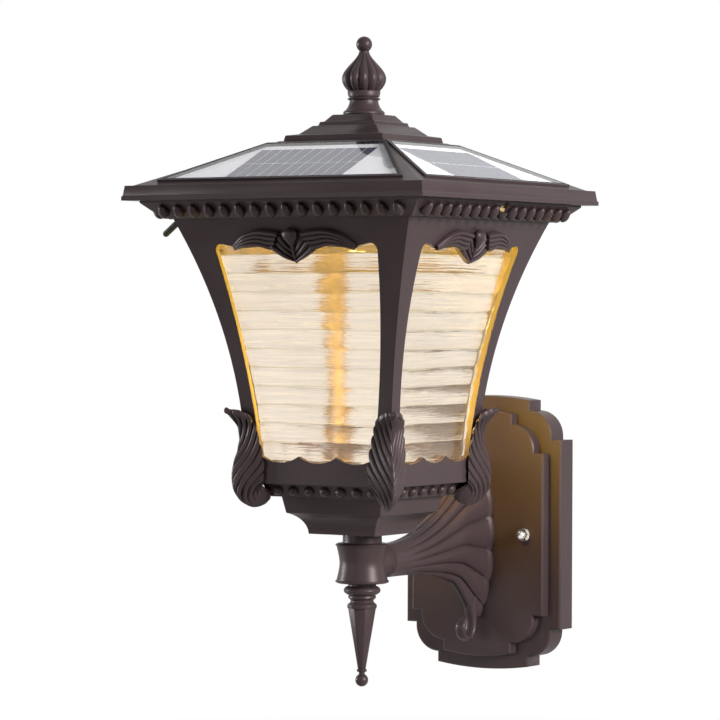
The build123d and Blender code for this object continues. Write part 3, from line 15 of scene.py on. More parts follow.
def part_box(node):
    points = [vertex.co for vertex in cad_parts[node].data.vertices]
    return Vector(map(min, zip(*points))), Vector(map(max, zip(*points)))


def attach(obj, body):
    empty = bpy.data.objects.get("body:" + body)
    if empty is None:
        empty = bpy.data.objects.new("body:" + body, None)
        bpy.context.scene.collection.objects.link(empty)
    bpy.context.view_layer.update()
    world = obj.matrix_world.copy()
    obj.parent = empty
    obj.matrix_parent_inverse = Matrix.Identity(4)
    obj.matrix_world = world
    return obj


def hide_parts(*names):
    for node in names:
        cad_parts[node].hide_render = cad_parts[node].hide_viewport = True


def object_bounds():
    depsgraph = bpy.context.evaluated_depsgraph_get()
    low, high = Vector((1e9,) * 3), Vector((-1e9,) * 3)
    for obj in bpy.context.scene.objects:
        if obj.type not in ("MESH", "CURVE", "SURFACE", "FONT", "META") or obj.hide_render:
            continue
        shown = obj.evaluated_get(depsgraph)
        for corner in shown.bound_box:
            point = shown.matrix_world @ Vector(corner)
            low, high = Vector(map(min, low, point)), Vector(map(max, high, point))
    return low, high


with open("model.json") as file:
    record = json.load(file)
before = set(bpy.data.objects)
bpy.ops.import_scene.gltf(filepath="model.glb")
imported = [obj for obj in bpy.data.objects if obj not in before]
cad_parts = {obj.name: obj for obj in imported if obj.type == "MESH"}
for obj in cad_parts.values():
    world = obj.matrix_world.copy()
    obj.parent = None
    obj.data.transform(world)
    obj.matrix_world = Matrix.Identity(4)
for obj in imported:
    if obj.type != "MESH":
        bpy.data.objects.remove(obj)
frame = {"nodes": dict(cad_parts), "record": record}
CAD_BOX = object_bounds()

# Shapes are modelled in millimetres in the part's frame and finished in metres
MM = 0.001
LOG = logging.getLogger("lantern")

Triple = tuple[float, float, float]
Colour = Triple
Line = tuple[tuple[float, ...], ...]
Place = Callable[[float, float], Vector]
Settings = dict[str, Any] | None
Sockets = dict[Any, Any] | None

UP = Vector((0, 0, 1))
RIGHT = Vector((1, 0, 0))
WHITE = (1.0, 1.0, 1.0)

# UV maps: columns and millimetres on the cells, millimetres and ribs on the panes
CELL_UV = "cell_millimetres"
PANE_UV = "pane_ribs"

# Sockets of a Mix node that carry colours
MIX_FIRST = 6
MIX_SECOND = 7
MIX_RESULT = 2

# Degrees below which faces of a CAD node are one face, and past which its edges are rounded
FLAT_ANGLE = 0.6
EDGE_ANGLE = 32.0


class Body(Enum):
    """Bodies that the new pieces ride on."""

    LANTERN = "lantern"
    HEAD = "solar_head"


class Slot(Enum):
    """Material slots of the record."""

    PAINT = "bronze_paint"
    RIBBED_GLASS = "ribbed_glass"
    PANEL_GLASS = "panel_glass"
    CELL = "solar_cell"
    SHEET = "white_sheet"
    SEAL = "black_seal"
    ZINC = "zinc_steel"
    CHROME = "chrome_nut"
    BRASS = "brass_screw"
    PLASTIC = "black_plastic"
    BATTERY = "battery_wrap"
    BOARD = "board_green"
    LAMP_BOARD = "board_white"
    COMPONENT = "component_black"
    LAMP = "led_chip"


def corners(node: str) -> tuple[Vector, Vector]:
    """Lowest and highest corner of a CAD node, in millimetres."""
    low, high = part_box(node)
    return low / MM, high / MM


def upright_axis() -> Matrix:
    """Move from the origin to the lantern's upright axis, which the tie rod follows."""
    low, high = corners("threaded_rod")
    return Matrix.Translation(((low.x + high.x) / 2, (low.y + high.y) / 2, 0))


AXIS = upright_axis()


class Side(Enum):
    """Sides of the lantern, by their turn from the front in degrees."""

    FRONT = 0
    RIGHT = 90
    BACK = 180
    LEFT = 270

    def turn(self) -> Matrix:
        """Place of a shape that is modelled on the front side of the upright axis."""
        return AXIS @ Matrix.Rotation(radians(self.value), 4, "Z")


class Corner(Enum):
    """Corners of the lantern, by the direction of their diagonal in degrees."""

    FRONT_RIGHT = -45
    BACK_RIGHT = 45
    BACK_LEFT = 135
    FRONT_LEFT = 225

    def turn(self) -> Matrix:
        """Place of a shape that is modelled along +X from the upright axis."""
        return AXIS @ Matrix.Rotation(radians(self.value), 4, "Z")


# Shader nodes


class Value:
    """A number in a shader, with arithmetic that adds Math nodes."""

    def __init__(self, net: "Net", socket: NodeSocket) -> None:
        """Wraps the output socket of a number in a net."""
        self.net = net
        self.socket = socket

    def math(self, operation: str, *terms: Any) -> "Value":
        """Result of a Math node on numbers or values, in the order of its sockets."""
        sockets = dict(enumerate(terms))
        return self.net.value("ShaderNodeMath", {"operation": operation}, sockets)

    def __add__(self, other: Any) -> "Value":
        """Sum."""
        return self.math("ADD", self, other)

    def __radd__(self, other: Any) -> "Value":
        """Sum."""
        return self.math("ADD", other, self)

    def __sub__(self, other: Any) -> "Value":
        """Difference."""
        return self.math("SUBTRACT", self, other)

    def __rsub__(self, other: Any) -> "Value":
        """Difference."""
        return self.math("SUBTRACT", other, self)

    def __mul__(self, other: Any) -> "Value":
        """Product."""
        return self.math("MULTIPLY", self, other)

    def __rmul__(self, other: Any) -> "Value":
        """Product."""
        return self.math("MULTIPLY", other, self)

    def fraction(self) -> "Value":
        """Part after the point."""
        return self.math("FRACT", self)

    def distance(self, other: float) -> "Value":
        """Distance from a number."""
        return self.math("ABSOLUTE", self - other)

    def below(self, limit: float) -> "Value":
        """One where the value is below a limit, otherwise zero."""
        return self.math("LESS_THAN", self, limit)

    def most(self, other: Any) -> "Value":
        """The larger of two values."""
        return self.math("MAXIMUM", self, other)

    def least(self, other: Any) -> "Value":
        """The smaller of two values."""
        return self.math("MINIMUM", self, other)


class Net:
    """Node net of a material or the world."""

    def __init__(self, tree: NodeTree) -> None:
        """Empties the node tree that the nodes go into."""
        self.tree = tree
        tree.nodes.clear()

    def join(self, socket: NodeSocket, source: Any) -> None:
        """Links a socket to a value or another socket, or sets it to a constant.

        Args:
            socket: Input socket.
            source: Value, output socket, number, vector or colour.
        """
        if isinstance(source, Value):
            source = source.socket
        if isinstance(source, NodeSocket):
            self.tree.links.new(source, socket)
        elif isinstance(source, tuple) and len(source) == 3 and socket.type == "RGBA":
            socket.default_value = (*source, 1.0)
        else:
            socket.default_value = source

    def add(self, kind: str, settings: Settings = None, sockets: Sockets = None) -> Node:
        """Adds a node.

        Args:
            kind: Type of the node.
            settings: Its settings, which are set first.
            sockets: Values or links of its input sockets.

        Returns:
            The node.
        """
        node = self.tree.nodes.new(kind)
        for name, setting in (settings or {}).items():
            setattr(node, name, setting)
        for name, source in (sockets or {}).items():
            self.join(node.inputs[name], source)
        return node

    def value(self, kind: str, settings: Settings = None, sockets: Sockets = None,
              output: Any = 0) -> Value:
        """Adds a node and wraps one of its outputs, by its name or number."""
        return Value(self, self.add(kind, settings, sockets).outputs[output])

    def place(self) -> NodeSocket:
        """Object coordinates, in metres."""
        return self.add("ShaderNodeTexCoord").outputs["Object"]

    def drawn(self, uv_map: str) -> tuple[Value, Value]:
        """Numbers of a piece's own UV map.

        Args:
            uv_map: Name of the map.

        Returns:
            Its first and its second number.
        """
        uv = self.add("ShaderNodeUVMap", {"uv_map": uv_map}).outputs[0]
        split = self.add("ShaderNodeSeparateXYZ", {}, {0: uv}).outputs
        return Value(self, split[0]), Value(self, split[1])

    def noise(self, scale: float, detail: float = 2.0, stretch: Triple = (1.0, 1.0, 1.0)) -> Value:
        """Noise about one half, by waves to the metre, finer layers and scale of each axis."""
        where = self.add("ShaderNodeMapping", {}, {"Vector": self.place(), "Scale": stretch}).outputs[0]
        return self.value("ShaderNodeTexNoise", {}, {"Vector": where, "Scale": scale, "Detail": detail})

    def blend(self, share: Any, low: Any, high: Any) -> NodeSocket:
        """Mixes two colours.

        Args:
            share: Share of the second colour.
            low: First colour.
            high: Second colour.

        Returns:
            The mixed colour.
        """
        sockets = {0: share, MIX_FIRST: low, MIX_SECOND: high}
        return self.add("ShaderNodeMix", {"data_type": "RGBA"}, sockets).outputs[MIX_RESULT]

    def bump(self, height: Value, strength: float, depth: float) -> NodeSocket:
        """Normal bent by a relief, whose step of one is a depth in metres."""
        sockets = {"Height": height, "Strength": strength, "Distance": depth}
        return self.add("ShaderNodeBump", {}, sockets).outputs[0]

    def surface(self, sockets: dict[str, Any]) -> None:
        """Ends the net in a Principled shader with values or links of its sockets."""
        shader = self.add("ShaderNodeBsdfPrincipled", {}, sockets)
        self.add("ShaderNodeOutputMaterial", {}, {"Surface": shader.outputs[0]})

    def mixed(self, share: Value, first: NodeSocket, second: NodeSocket) -> None:
        """Ends the net in a mix of two shaders, by the share of the second."""
        shader = self.add("ShaderNodeMixShader", {}, {0: share, 1: first, 2: second})
        self.add("ShaderNodeOutputMaterial", {}, {"Surface": shader.outputs[0]})


def new_material(name: str) -> tuple[Material, Net]:
    """Makes an empty node material.

    Args:
        name: Name of the material.

    Returns:
        The material and its net.
    """
    material = bpy.data.materials.new(name)
    material.use_nodes = True
    return material, Net(material.node_tree)


# Finishes


@dataclass(frozen=True)
class PowderCoat:
    """Satin bronze powder coat: a fine sandy grain over a slow change of tone."""

    name: str = "bronze_powder_coat"
    dark: Colour = (0.019, 0.0125, 0.0135)
    light: Colour = (0.040, 0.0270, 0.0290)
    sheen: Colour = (1.0, 0.87, 0.88)
    gloss_level: float = 0.15
    gloss_floor: float = 0.27
    gloss_spread: float = 0.17
    tone_scale: float = 26.0
    tone_detail: float = 4.0
    tone_share: float = 0.55
    grain_scale: float = 1500.0
    grain_strength: float = 0.35
    grain_depth: float = 0.00012

    def material(self) -> Material:
        """Builds the finish."""
        material, net = new_material(self.name)
        tone = net.noise(self.tone_scale, self.tone_detail)
        grain = net.noise(self.grain_scale)
        mottle = self.tone_share * tone + (1 - self.tone_share) * grain
        net.surface({
            "Base Color": net.blend(mottle, self.dark, self.light),
            "Roughness": self.gloss_floor + self.gloss_spread * tone,
            "Specular IOR Level": self.gloss_level,
            "Specular Tint": self.sheen,
            "Normal": net.bump(grain, self.grain_strength, self.grain_depth),
        })
        return material


@dataclass(frozen=True)
class PressedGlass:
    """Clear pressed glass: a warm, streaky body, painted shade and painted golden reflection in lines along
    the grooves between the ribs, a faint painted glow and a rippled face.
    """

    name: str = "ribbed_glass"
    dark: Colour = (0.83, 0.78, 0.735)
    light: Colour = (0.97, 0.905, 0.805)
    # Colour and strength of a faint painted glow: the glass gives off light of its own though it is no lamp
    glow: Colour = (1.0, 0.80, 0.52)
    painted_glow_strength: float = 0.02
    index: float = 1.47
    gloss_floor: float = 0.03
    gloss_spread: float = 0.05
    ripple_scale: float = 55.0
    ripple_stretch: Triple = (0.35, 0.35, 1.0)
    ripple_strength: float = 0.30
    ripple_depth: float = 0.0006
    streak_scale: float = 760.0
    streak_stretch: Triple = (0.022, 0.022, 1.0)
    streak_contrast: float = 2.6
    streak_share: float = 1.7
    # Colour of the painted shade and painted golden reflection of the lit inside, laid along the grooves
    # between the ribs
    groove: Colour = (0.66, 0.60, 0.42)
    painted_shade_half: float = 0.06
    painted_shade_share: float = 0.75

    def material(self) -> Material:
        """Builds the finish."""
        material, net = new_material(self.name)
        streak = net.noise(self.streak_scale, stretch=self.streak_stretch)
        body = net.blend((streak - 0.5) * self.streak_contrast + 0.5, self.dark, self.light)
        ribs = net.drawn(PANE_UV)[1]
        from_crest = ribs.fraction().distance(0.5)
        # Mask of the painted shade lines: one at the groove between two ribs, falling to zero a set half
        # width from it
        line = ((from_crest - (0.5 - self.painted_shade_half)) * (1 / self.painted_shade_half)).most(0.0)
        ripple = net.noise(self.ripple_scale, stretch=self.ripple_stretch)
        relief = ripple + self.streak_share * streak
        net.surface({
            # Painted shade and painted golden reflection mixed into the glass colour at the grooves
            "Base Color": net.blend(self.painted_shade_share * line, body, self.groove),
            "Roughness": self.gloss_floor + self.gloss_spread * ripple,
            "IOR": self.index,
            "Transmission Weight": 1.0,
            # Painted glow of the glass
            "Emission Color": self.glow,
            "Emission Strength": self.painted_glow_strength,
            "Normal": net.bump(relief, self.ripple_strength, self.ripple_depth),
        })
        return material


@dataclass(frozen=True)
class CoverGlass:
    """Flat cover glass over the cells: clear from above, a mirror at a low angle."""

    name: str = "panel_cover_glass"
    tint: Colour = (0.96, 0.96, 0.97)
    index: float = 1.5
    gloss_floor: float = 0.015
    gloss_spread: float = 0.02
    smear_scale: float = 30.0
    smear_detail: float = 3.0

    def material(self) -> Material:
        """Builds the finish."""
        material, net = new_material(self.name)
        smear = net.noise(self.smear_scale, self.smear_detail)
        roughness = self.gloss_floor + self.gloss_spread * smear
        clear = net.add("ShaderNodeBsdfTransparent", {}, {"Color": self.tint})
        gloss = net.add("ShaderNodeBsdfGlossy", {}, {"Color": WHITE, "Roughness": roughness})
        inside = net.value("ShaderNodeNewGeometry", {}, {}, "Backfacing")
        angle = net.value("ShaderNodeFresnel", {}, {"IOR": self.index}) * (1 - inside)
        net.mixed(angle, clear.outputs[0], gloss.outputs[0])
        return material


@dataclass(frozen=True)
class SolarCell:
    """Navy crystalline cell with faint fingers and a bus bar, drawn on the cell's own UV map."""

    name: str = "solar_cell"
    dark: Colour = (0.006, 0.008, 0.030)
    light: Colour = (0.020, 0.026, 0.075)
    silver: Colour = (0.060, 0.065, 0.115)
    finger_pitch: float = 2.1
    finger_width: float = 0.10
    bar_width: float = 0.07
    crystal_scale: float = 420.0
    crystal_share: float = 0.6
    cloud_scale: float = 90.0
    cloud_share: float = 0.2
    gloss_floor: float = 0.28
    line_gloss: float = 0.12
    line_metal: float = 0.3

    def material(self) -> Material:
        """Builds the finish."""
        material, net = new_material(self.name)
        across, along = net.drawn(CELL_UV)
        grains = net.add("ShaderNodeTexVoronoi", {}, {"Vector": net.place(), "Scale": self.crystal_scale})
        crystal = net.value("ShaderNodeRGBToBW", {}, {0: grains.outputs["Color"]})
        finger = (along * (1 / self.finger_pitch)).fraction().distance(0.5).below(self.finger_width / 2)
        bar = across.fraction().distance(0.5).below(self.bar_width / 2)
        lines = finger.most(bar)
        tone = self.crystal_share * crystal + self.cloud_share * net.noise(self.cloud_scale)
        body = net.blend(tone, self.dark, self.light)
        net.surface({
            "Base Color": net.blend(lines, body, self.silver),
            "Roughness": self.gloss_floor + self.line_gloss * lines,
            "Metallic": self.line_metal * lines,
        })
        return material


@dataclass(frozen=True)
class Plated:
    """Plated or turned metal with fine tool marks."""

    name: str
    colour: Colour
    shade: Colour
    roughness: float = 0.22
    gloss_spread: float = 0.16
    mark_scale: float = 2600.0
    mark_stretch: Triple = (1.0, 1.0, 0.08)
    mark_strength: float = 0.15
    mark_depth: float = 0.00005
    cloud_scale: float = 120.0
    cloud_detail: float = 3.0

    def material(self) -> Material:
        """Builds the finish."""
        material, net = new_material(self.name)
        marks = net.noise(self.mark_scale, stretch=self.mark_stretch)
        cloud = net.noise(self.cloud_scale, self.cloud_detail)
        net.surface({
            "Base Color": net.blend(cloud, self.shade, self.colour),
            "Roughness": self.roughness + self.gloss_spread * marks,
            "Metallic": 1.0,
            "Normal": net.bump(marks, self.mark_strength, self.mark_depth),
        })
        return material


@dataclass(frozen=True)
class Moulded:
    """Moulded or coated surface: plastic, rubber, card or lacquer, with its grain."""

    name: str
    dark: Colour
    light: Colour
    roughness: float = 0.45
    gloss_spread: float = 0.14
    gloss_level: float = 0.2
    grain_scale: float = 1200.0
    grain_share: float = 0.5
    grain_strength: float = 0.3
    grain_depth: float = 0.00008
    cloud_scale: float = 45.0
    cloud_detail: float = 3.0
    glow: float = 0.0

    def material(self) -> Material:
        """Builds the finish."""
        material, net = new_material(self.name)
        grain = net.noise(self.grain_scale)
        cloud = net.noise(self.cloud_scale, self.cloud_detail)
        mottle = self.grain_share * grain + (1 - self.grain_share) * cloud
        colour = net.blend(mottle, self.dark, self.light)
        sockets = {
            "Base Color": colour,
            "Roughness": self.roughness + self.gloss_spread * cloud,
            "Specular IOR Level": self.gloss_level,
            "Normal": net.bump(grain, self.grain_strength, self.grain_depth),
        }
        if self.glow:
            sockets["Emission Color"] = colour
            sockets["Emission Strength"] = self.glow
        net.surface(sockets)
        return material


FINISHES: dict[Slot, Any] = {
    Slot.PAINT: PowderCoat(),
    Slot.RIBBED_GLASS: PressedGlass(),
    Slot.PANEL_GLASS: CoverGlass(),
    Slot.CELL: SolarCell(),
    Slot.SHEET: Moulded("white_back_sheet", (0.84, 0.84, 0.85), (0.91, 0.91, 0.92), 0.5),
    Slot.SEAL: Moulded("black_rubber_seal", (0.005, 0.005, 0.006), (0.014, 0.014, 0.015), 0.6),
    Slot.ZINC: Plated("zinc_plate", (0.62, 0.62, 0.60), (0.40, 0.41, 0.42), 0.34),
    Slot.CHROME: Plated("chrome_plate", (0.86, 0.84, 0.80), (0.70, 0.68, 0.64), 0.10),
    Slot.BRASS: Plated("brass", (0.86, 0.64, 0.30), (0.62, 0.43, 0.16), 0.20),
    Slot.PLASTIC: Moulded("black_moulded_plastic", (0.005, 0.005, 0.006), (0.013, 0.013, 0.013), 0.38),
    Slot.BATTERY: Moulded("blue_battery_wrap", (0.03, 0.10, 0.24), (0.05, 0.15, 0.32), 0.3),
    Slot.BOARD: Moulded("green_board_lacquer", (0.010, 0.085, 0.035), (0.022, 0.13, 0.055), 0.3),
    Slot.LAMP_BOARD: Moulded("white_board_lacquer", (0.72, 0.71, 0.68), (0.84, 0.83, 0.80), 0.35),
    Slot.COMPONENT: Moulded("dark_component_resin", (0.014, 0.014, 0.016), (0.05, 0.05, 0.055), 0.42),
    Slot.LAMP: Moulded("warm_lamp_phosphor", (1.0, 0.66, 0.26), (1.0, 0.76, 0.38), 0.4, glow=14.0),
}


class Wardrobe:
    """Materials of the record's slots, each built once."""

    def __init__(self) -> None:
        """Builds every finish."""
        self.materials = {slot: finish.material() for slot, finish in FINISHES.items()}

    def dress(self, piece: Object, slot: Slot) -> None:
        """Gives a piece the one finish of its slot."""
        piece.data.materials.clear()
        piece.data.materials.append(self.materials[slot])

    def dress_nodes(self) -> None:
        """Gives every CAD node the finish that the record names for it."""
        for subpart in frame["record"]["subparts"]:
            self.dress(frame["nodes"][subpart["node"]], Slot(subpart["material_slot"]))


WARDROBE = Wardrobe()


# Shapes


class Path:
    """Smooth curve through a few points, followed by a share from zero to one."""

    def __init__(self, *points: Sequence[float]) -> None:
        """Keeps the points that the curve passes, evenly spread over the share."""
        self.points = [Vector(point) for point in points]

    def at(self, share: float) -> Vector:
        """Point on the curve.

        Args:
            share: Share of the curve from its first point.

        Returns:
            The point.
        """
        spans = len(self.points) - 1
        step = min(max(share, 0.0), 1.0) * spans
        index = min(int(step), spans - 1)
        t = step - index
        here, there = self.points[index], self.points[index + 1]
        before = self.points[index - 1] if index else 2 * here - there
        after = self.points[index + 2] if index + 2 <= spans else 2 * there - here
        bend = 2 * before - 5 * here + 4 * there - after
        twist = 3 * here - before - 3 * there + after
        return 0.5 * (2 * here + (there - before) * t + bend * t * t + twist * t ** 3)

    def run(self, share: float) -> Vector:
        """Direction of the curve at a share."""
        reach = 0.004
        return (self.at(min(share + reach, 1.0)) - self.at(max(share - reach, 0.0))).normalized()


def outward(shape: BMesh) -> BMesh:
    """Merges doubled points of a closed shape and turns its faces outwards.

    Args:
        shape: Closed mesh.

    Returns:
        The same mesh.
    """
    bmesh.ops.remove_doubles(shape, verts=shape.verts, dist=1e-4)
    bmesh.ops.recalc_face_normals(shape, faces=shape.faces)
    return shape


def tube(rings: int, sides: int, place: Place) -> BMesh:
    """Closed tube whose points are placed by a formula.

    Args:
        rings: Spans along the tube.
        sides: Faces round the tube.
        place: Point for a share along the tube and an angle round it.

    Returns:
        The mesh.
    """
    shape = bmesh.new()
    bmesh.ops.create_cone(shape, cap_ends=True, segments=sides, radius1=1.0, radius2=1.0, depth=1.0)
    upright = [edge for edge in shape.edges if abs(edge.verts[0].co.z - edge.verts[1].co.z) > 0.5]
    bmesh.ops.subdivide_edges(shape, edges=upright, cuts=rings - 1, use_grid_fill=True)
    for vertex in shape.verts:
        vertex.co = place(vertex.co.z + 0.5, atan2(vertex.co.y, vertex.co.x))
    return outward(shape)


def grid(columns: int, rows: int, place: Place) -> BMesh:
    """Open sheet whose points are placed by a formula.

    Args:
        columns: Faces across.
        rows: Faces along.
        place: Point for the shares across and along.

    Returns:
        The mesh, facing the side from which across turns left into along.
    """
    shape = bmesh.new()
    bmesh.ops.create_grid(shape, x_segments=columns, y_segments=rows, size=0.5)
    for vertex in shape.verts:
        vertex.co = place(vertex.co.x + 0.5, vertex.co.y + 0.5)
    return shape


def drawn_out(shape: BMesh) -> list[bmesh.types.BMVert]:
    """Points of a second skin drawn from all faces of an open shape, joined to it at the rim."""
    drawn = bmesh.ops.extrude_face_region(shape, geom=shape.faces[:])["geom"]
    return [part for part in drawn if isinstance(part, bmesh.types.BMVert)]


def print_map(shape: BMesh, name: str, uv: Callable[[Vector], tuple[float, float]]) -> None:
    """Gives a shape a UV map.

    Args:
        shape: Mesh.
        name: Name of the map.
        uv: The map's two numbers for a point.
    """
    layer = shape.loops.layers.uv.new(name)
    for face in shape.faces:
        for loop in face.loops:
            loop[layer].uv = uv(loop.vert.co)


def plane(place: Vector, out: Vector) -> Matrix:
    """Place of a shape that is modelled flat, on a sloping face of the front side.

    Args:
        place: Where its middle goes.
        out: Direction out of the face.

    Returns:
        The place.
    """
    out = out.normalized()
    lie = Matrix((RIGHT, out.cross(RIGHT), out)).transposed().to_4x4()
    return Matrix.Translation(place) @ lie


def limb(path: Path, out: Vector, widths: Path, rings: int, sides: int) -> BMesh:
    """Rounded limb along a curve that lies in one plane.

    Args:
        path: Centre line.
        out: Direction square to the plane.
        widths: Half width in the plane and half thickness out of it, as the x and y of a path.
        rings: Spans along the limb.
        sides: Faces round the limb.

    Returns:
        The mesh.
    """
    def place(share: float, angle: float) -> Vector:
        """Point on the limb's skin."""
        side = path.run(share).cross(out).normalized()
        width = widths.at(share)
        return path.at(share) + side * (width.x * cos(angle)) + out * (width.y * sin(angle))

    return tube(rings, sides, place)


def turned(profile: Sequence[Sequence[float]], steps: int = 72) -> BMesh:
    """Solid turned about the upright axis.

    Args:
        profile: Points of (radius, height), from the axis to the axis.
        steps: Faces round the axis.

    Returns:
        The mesh.
    """
    shape = bmesh.new()
    points = [shape.verts.new((radius, 0.0, height)) for radius, height in profile]
    edges = [shape.edges.new(pair) for pair in zip(points, points[1:])]
    bmesh.ops.spin(shape, geom=points + edges, axis=(0, 0, 1), cent=(0, 0, 0), angle=2 * pi, steps=steps,
                   use_merge=True)
    return outward(shape)


def ball(radius: float, place: Matrix, fineness: int) -> BMesh:
    """Ball, which the place may stretch.

    Args:
        radius: Radius of the ball.
        place: Place of the ball.
        fineness: Faces round the ball.

    Returns:
        The mesh.
    """
    shape = bmesh.new()
    bmesh.ops.create_uvsphere(shape, u_segments=fineness, v_segments=fineness // 2, radius=radius,
                              matrix=place)
    return outward(shape)


class Casting:
    """Shapes gathered into one piece."""

    def __init__(self, uv_map: str = "") -> None:
        """Starts with nothing.

        Args:
            uv_map: Name of the shapes' UV map, if they have one.
        """
        self.mesh = bmesh.new()
        if uv_map:
            self.mesh.loops.layers.uv.new(uv_map)

    def add(self, shape: BMesh, *places: Matrix) -> None:
        """Adds a shape at one or more places.

        Args:
            shape: Mesh in millimetres, which is used up.
            places: Places of its copies, or none for where it is.
        """
        for place in places or (Matrix(),):
            carrier = bpy.data.meshes.new("carrier")
            shape.to_mesh(carrier)
            carrier.transform(place)
            self.mesh.from_mesh(carrier)
            bpy.data.meshes.remove(carrier)
        shape.free()

    def finish(self, name: str, slot: Slot, body: Body, *replaced: str, sharp: float) -> Object:
        """Makes the object, dresses it and sets it on its body.

        Args:
            name: Name of the piece.
            slot: Its finish.
            body: Body that it rides on.
            replaced: CAD nodes that it stands for.
            sharp: Angle past which an edge stays sharp, in degrees.

        Returns:
            The object.
        """
        self.mesh.transform(Matrix.Scale(MM, 4))
        data = bpy.data.meshes.new(name)
        self.mesh.to_mesh(data)
        self.mesh.free()
        return install(data, name, slot, body, *replaced, sharp=sharp)


def install(data: bpy.types.Mesh, name: str, slot: Slot, body: Body, *replaced: str,
            sharp: float) -> Object:
    """Puts a finished mesh into the scene.

    Args:
        data: Mesh in metres.
        name: Name of the piece.
        slot: Its finish.
        body: Body that it rides on.
        replaced: CAD nodes that it stands for.
        sharp: Angle past which an edge stays sharp, in degrees.

    Returns:
        The object.
    """
    data.shade_smooth()
    data.set_sharp_from_angle(angle=radians(sharp))
    piece = bpy.data.objects.new(name, data)
    bpy.context.scene.collection.objects.link(piece)
    WARDROBE.dress(piece, slot)
    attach(piece, body.value)
    if replaced:
        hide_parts(*replaced)
    LOG.info("%s rides on %s, %d faces", name, body.value, len(data.polygons))
    return piece


def eased(node: str, body: Body, edge: float) -> None:
    """Copies a painted CAD node and rounds its sharp edges, as a casting's are under paint.

    Args:
        node: Name of the node, which the copy stands for.
        body: Body that it rides on.
        edge: Width of the rounded edges.
    """
    shape = bmesh.new()
    shape.from_mesh(frame["nodes"][node].data)
    bmesh.ops.remove_doubles(shape, verts=shape.verts, dist=1e-6)
    bmesh.ops.dissolve_limit(shape, angle_limit=radians(FLAT_ANGLE), verts=shape.verts, edges=shape.edges)
    data = bpy.data.meshes.new(node + "_eased")
    shape.to_mesh(data)
    shape.free()
    piece = install(data, node + "_eased", Slot.PAINT, body, node, sharp=EDGE_ANGLE)
    rounding = piece.modifiers.new("rounded_edges", "BEVEL")
    rounding.limit_method = "ANGLE"
    rounding.angle_limit = radians(EDGE_ANGLE)
    rounding.width = edge * MM
    rounding.segments = 2
    rounding.harden_normals = True


# Sub-assemblies


@dataclass(frozen=True)
class Flare:
    """Curve of the lantern's sides: half width by height."""

    sill_half: float = 60.5
    radius: float = 488.0
    foot: float = field(default_factory=lambda: corners("side_frame_front")[0].z)
    top: float = field(default_factory=lambda: corners("side_frame_front")[1].z)

    def half(self, height: float, inset: float = 0.0) -> float:
        """Half width of a side at a height, set in by a wall."""
        rise = height - self.foot
        return self.sill_half + self.radius - sqrt((self.radius + inset) ** 2 - rise ** 2)

    def lean(self, height: float) -> float:
        """Outward slope of a side at a height."""
        rise = height - self.foot
        return rise / sqrt(self.radius ** 2 - rise ** 2)


FLARE = Flare()


@dataclass
class GlassPanes:
    """Four curved panes whose outer faces roll in level, slightly uneven ribs."""

    inset: float = 4.3
    rib_rise: float = 1.3
    rib_fullness: float = 0.42
    rib_pitch: float = 13.5
    thickness: float = 3.0
    edge_gap: float = 6.0
    waver: float = 0.10
    waver_across: float = 0.018
    waver_up: float = 0.03
    edge_calm: float = 8.0
    columns: int = 36
    rows_to_a_rib: int = 14

    def build(self) -> None:
        """Models and dresses the panes."""
        for side in Side:
            name = "glass_pane_" + side.name.lower()
            low, high = corners(name)
            casting = Casting(PANE_UV)
            casting.add(self.pane(low.z, high.z, side.value), side.turn())
            pane = casting.finish(name + "_ribbed", Slot.RIBBED_GLASS, Body.LANTERN, name, sharp=60.0)
            pane.visible_shadow = False

    def pane(self, low: float, high: float, seed: float) -> BMesh:
        """Front pane: a ribbed sheet drawn back to a smooth inner face.

        Args:
            low: Height of its lower edge.
            high: Height of its upper edge.
            seed: Number that tells the ribs' unevenness apart.

        Returns:
            The mesh, with a UV map of the place across and the count of ribs below.
        """
        ribs = round((high - low) / self.rib_pitch)
        valley = self.inset + self.rib_rise

        def phase(x: float, height: float) -> float:
            """Number of ribs below a place, with the fraction of its own rib."""
            along = (height - low) / (high - low)
            drift = noise.noise(Vector((x * self.waver_across, height * self.waver_up, seed))) * self.waver
            return along * ribs + drift * min(1.0, self.edge_calm * along, self.edge_calm * (1 - along))

        def place(across: float, along: float) -> Vector:
            """Point on the outer face."""
            height = low + (high - low) * along
            x = (2 * across - 1) * (FLARE.half(height, valley) - self.edge_gap)
            rib = abs(sin(pi * phase(x, height))) ** self.rib_fullness
            return Vector((x, -FLARE.half(height, valley - self.rib_rise * rib), height))

        shape = grid(self.columns, ribs * self.rows_to_a_rib, place)
        for vertex in drawn_out(shape):
            vertex.co.y = -FLARE.half(vertex.co.z, valley + self.thickness)
        print_map(shape, PANE_UV, lambda point: (point.x, phase(point.x, point.z)))
        return outward(shape)


class LeafStation(NamedTuple):
    """Section of a leaf: its ridge from the sill's corner, then half width, wrap and scoop."""

    out: float
    up: float
    half: float
    wrap: float
    scoop: float


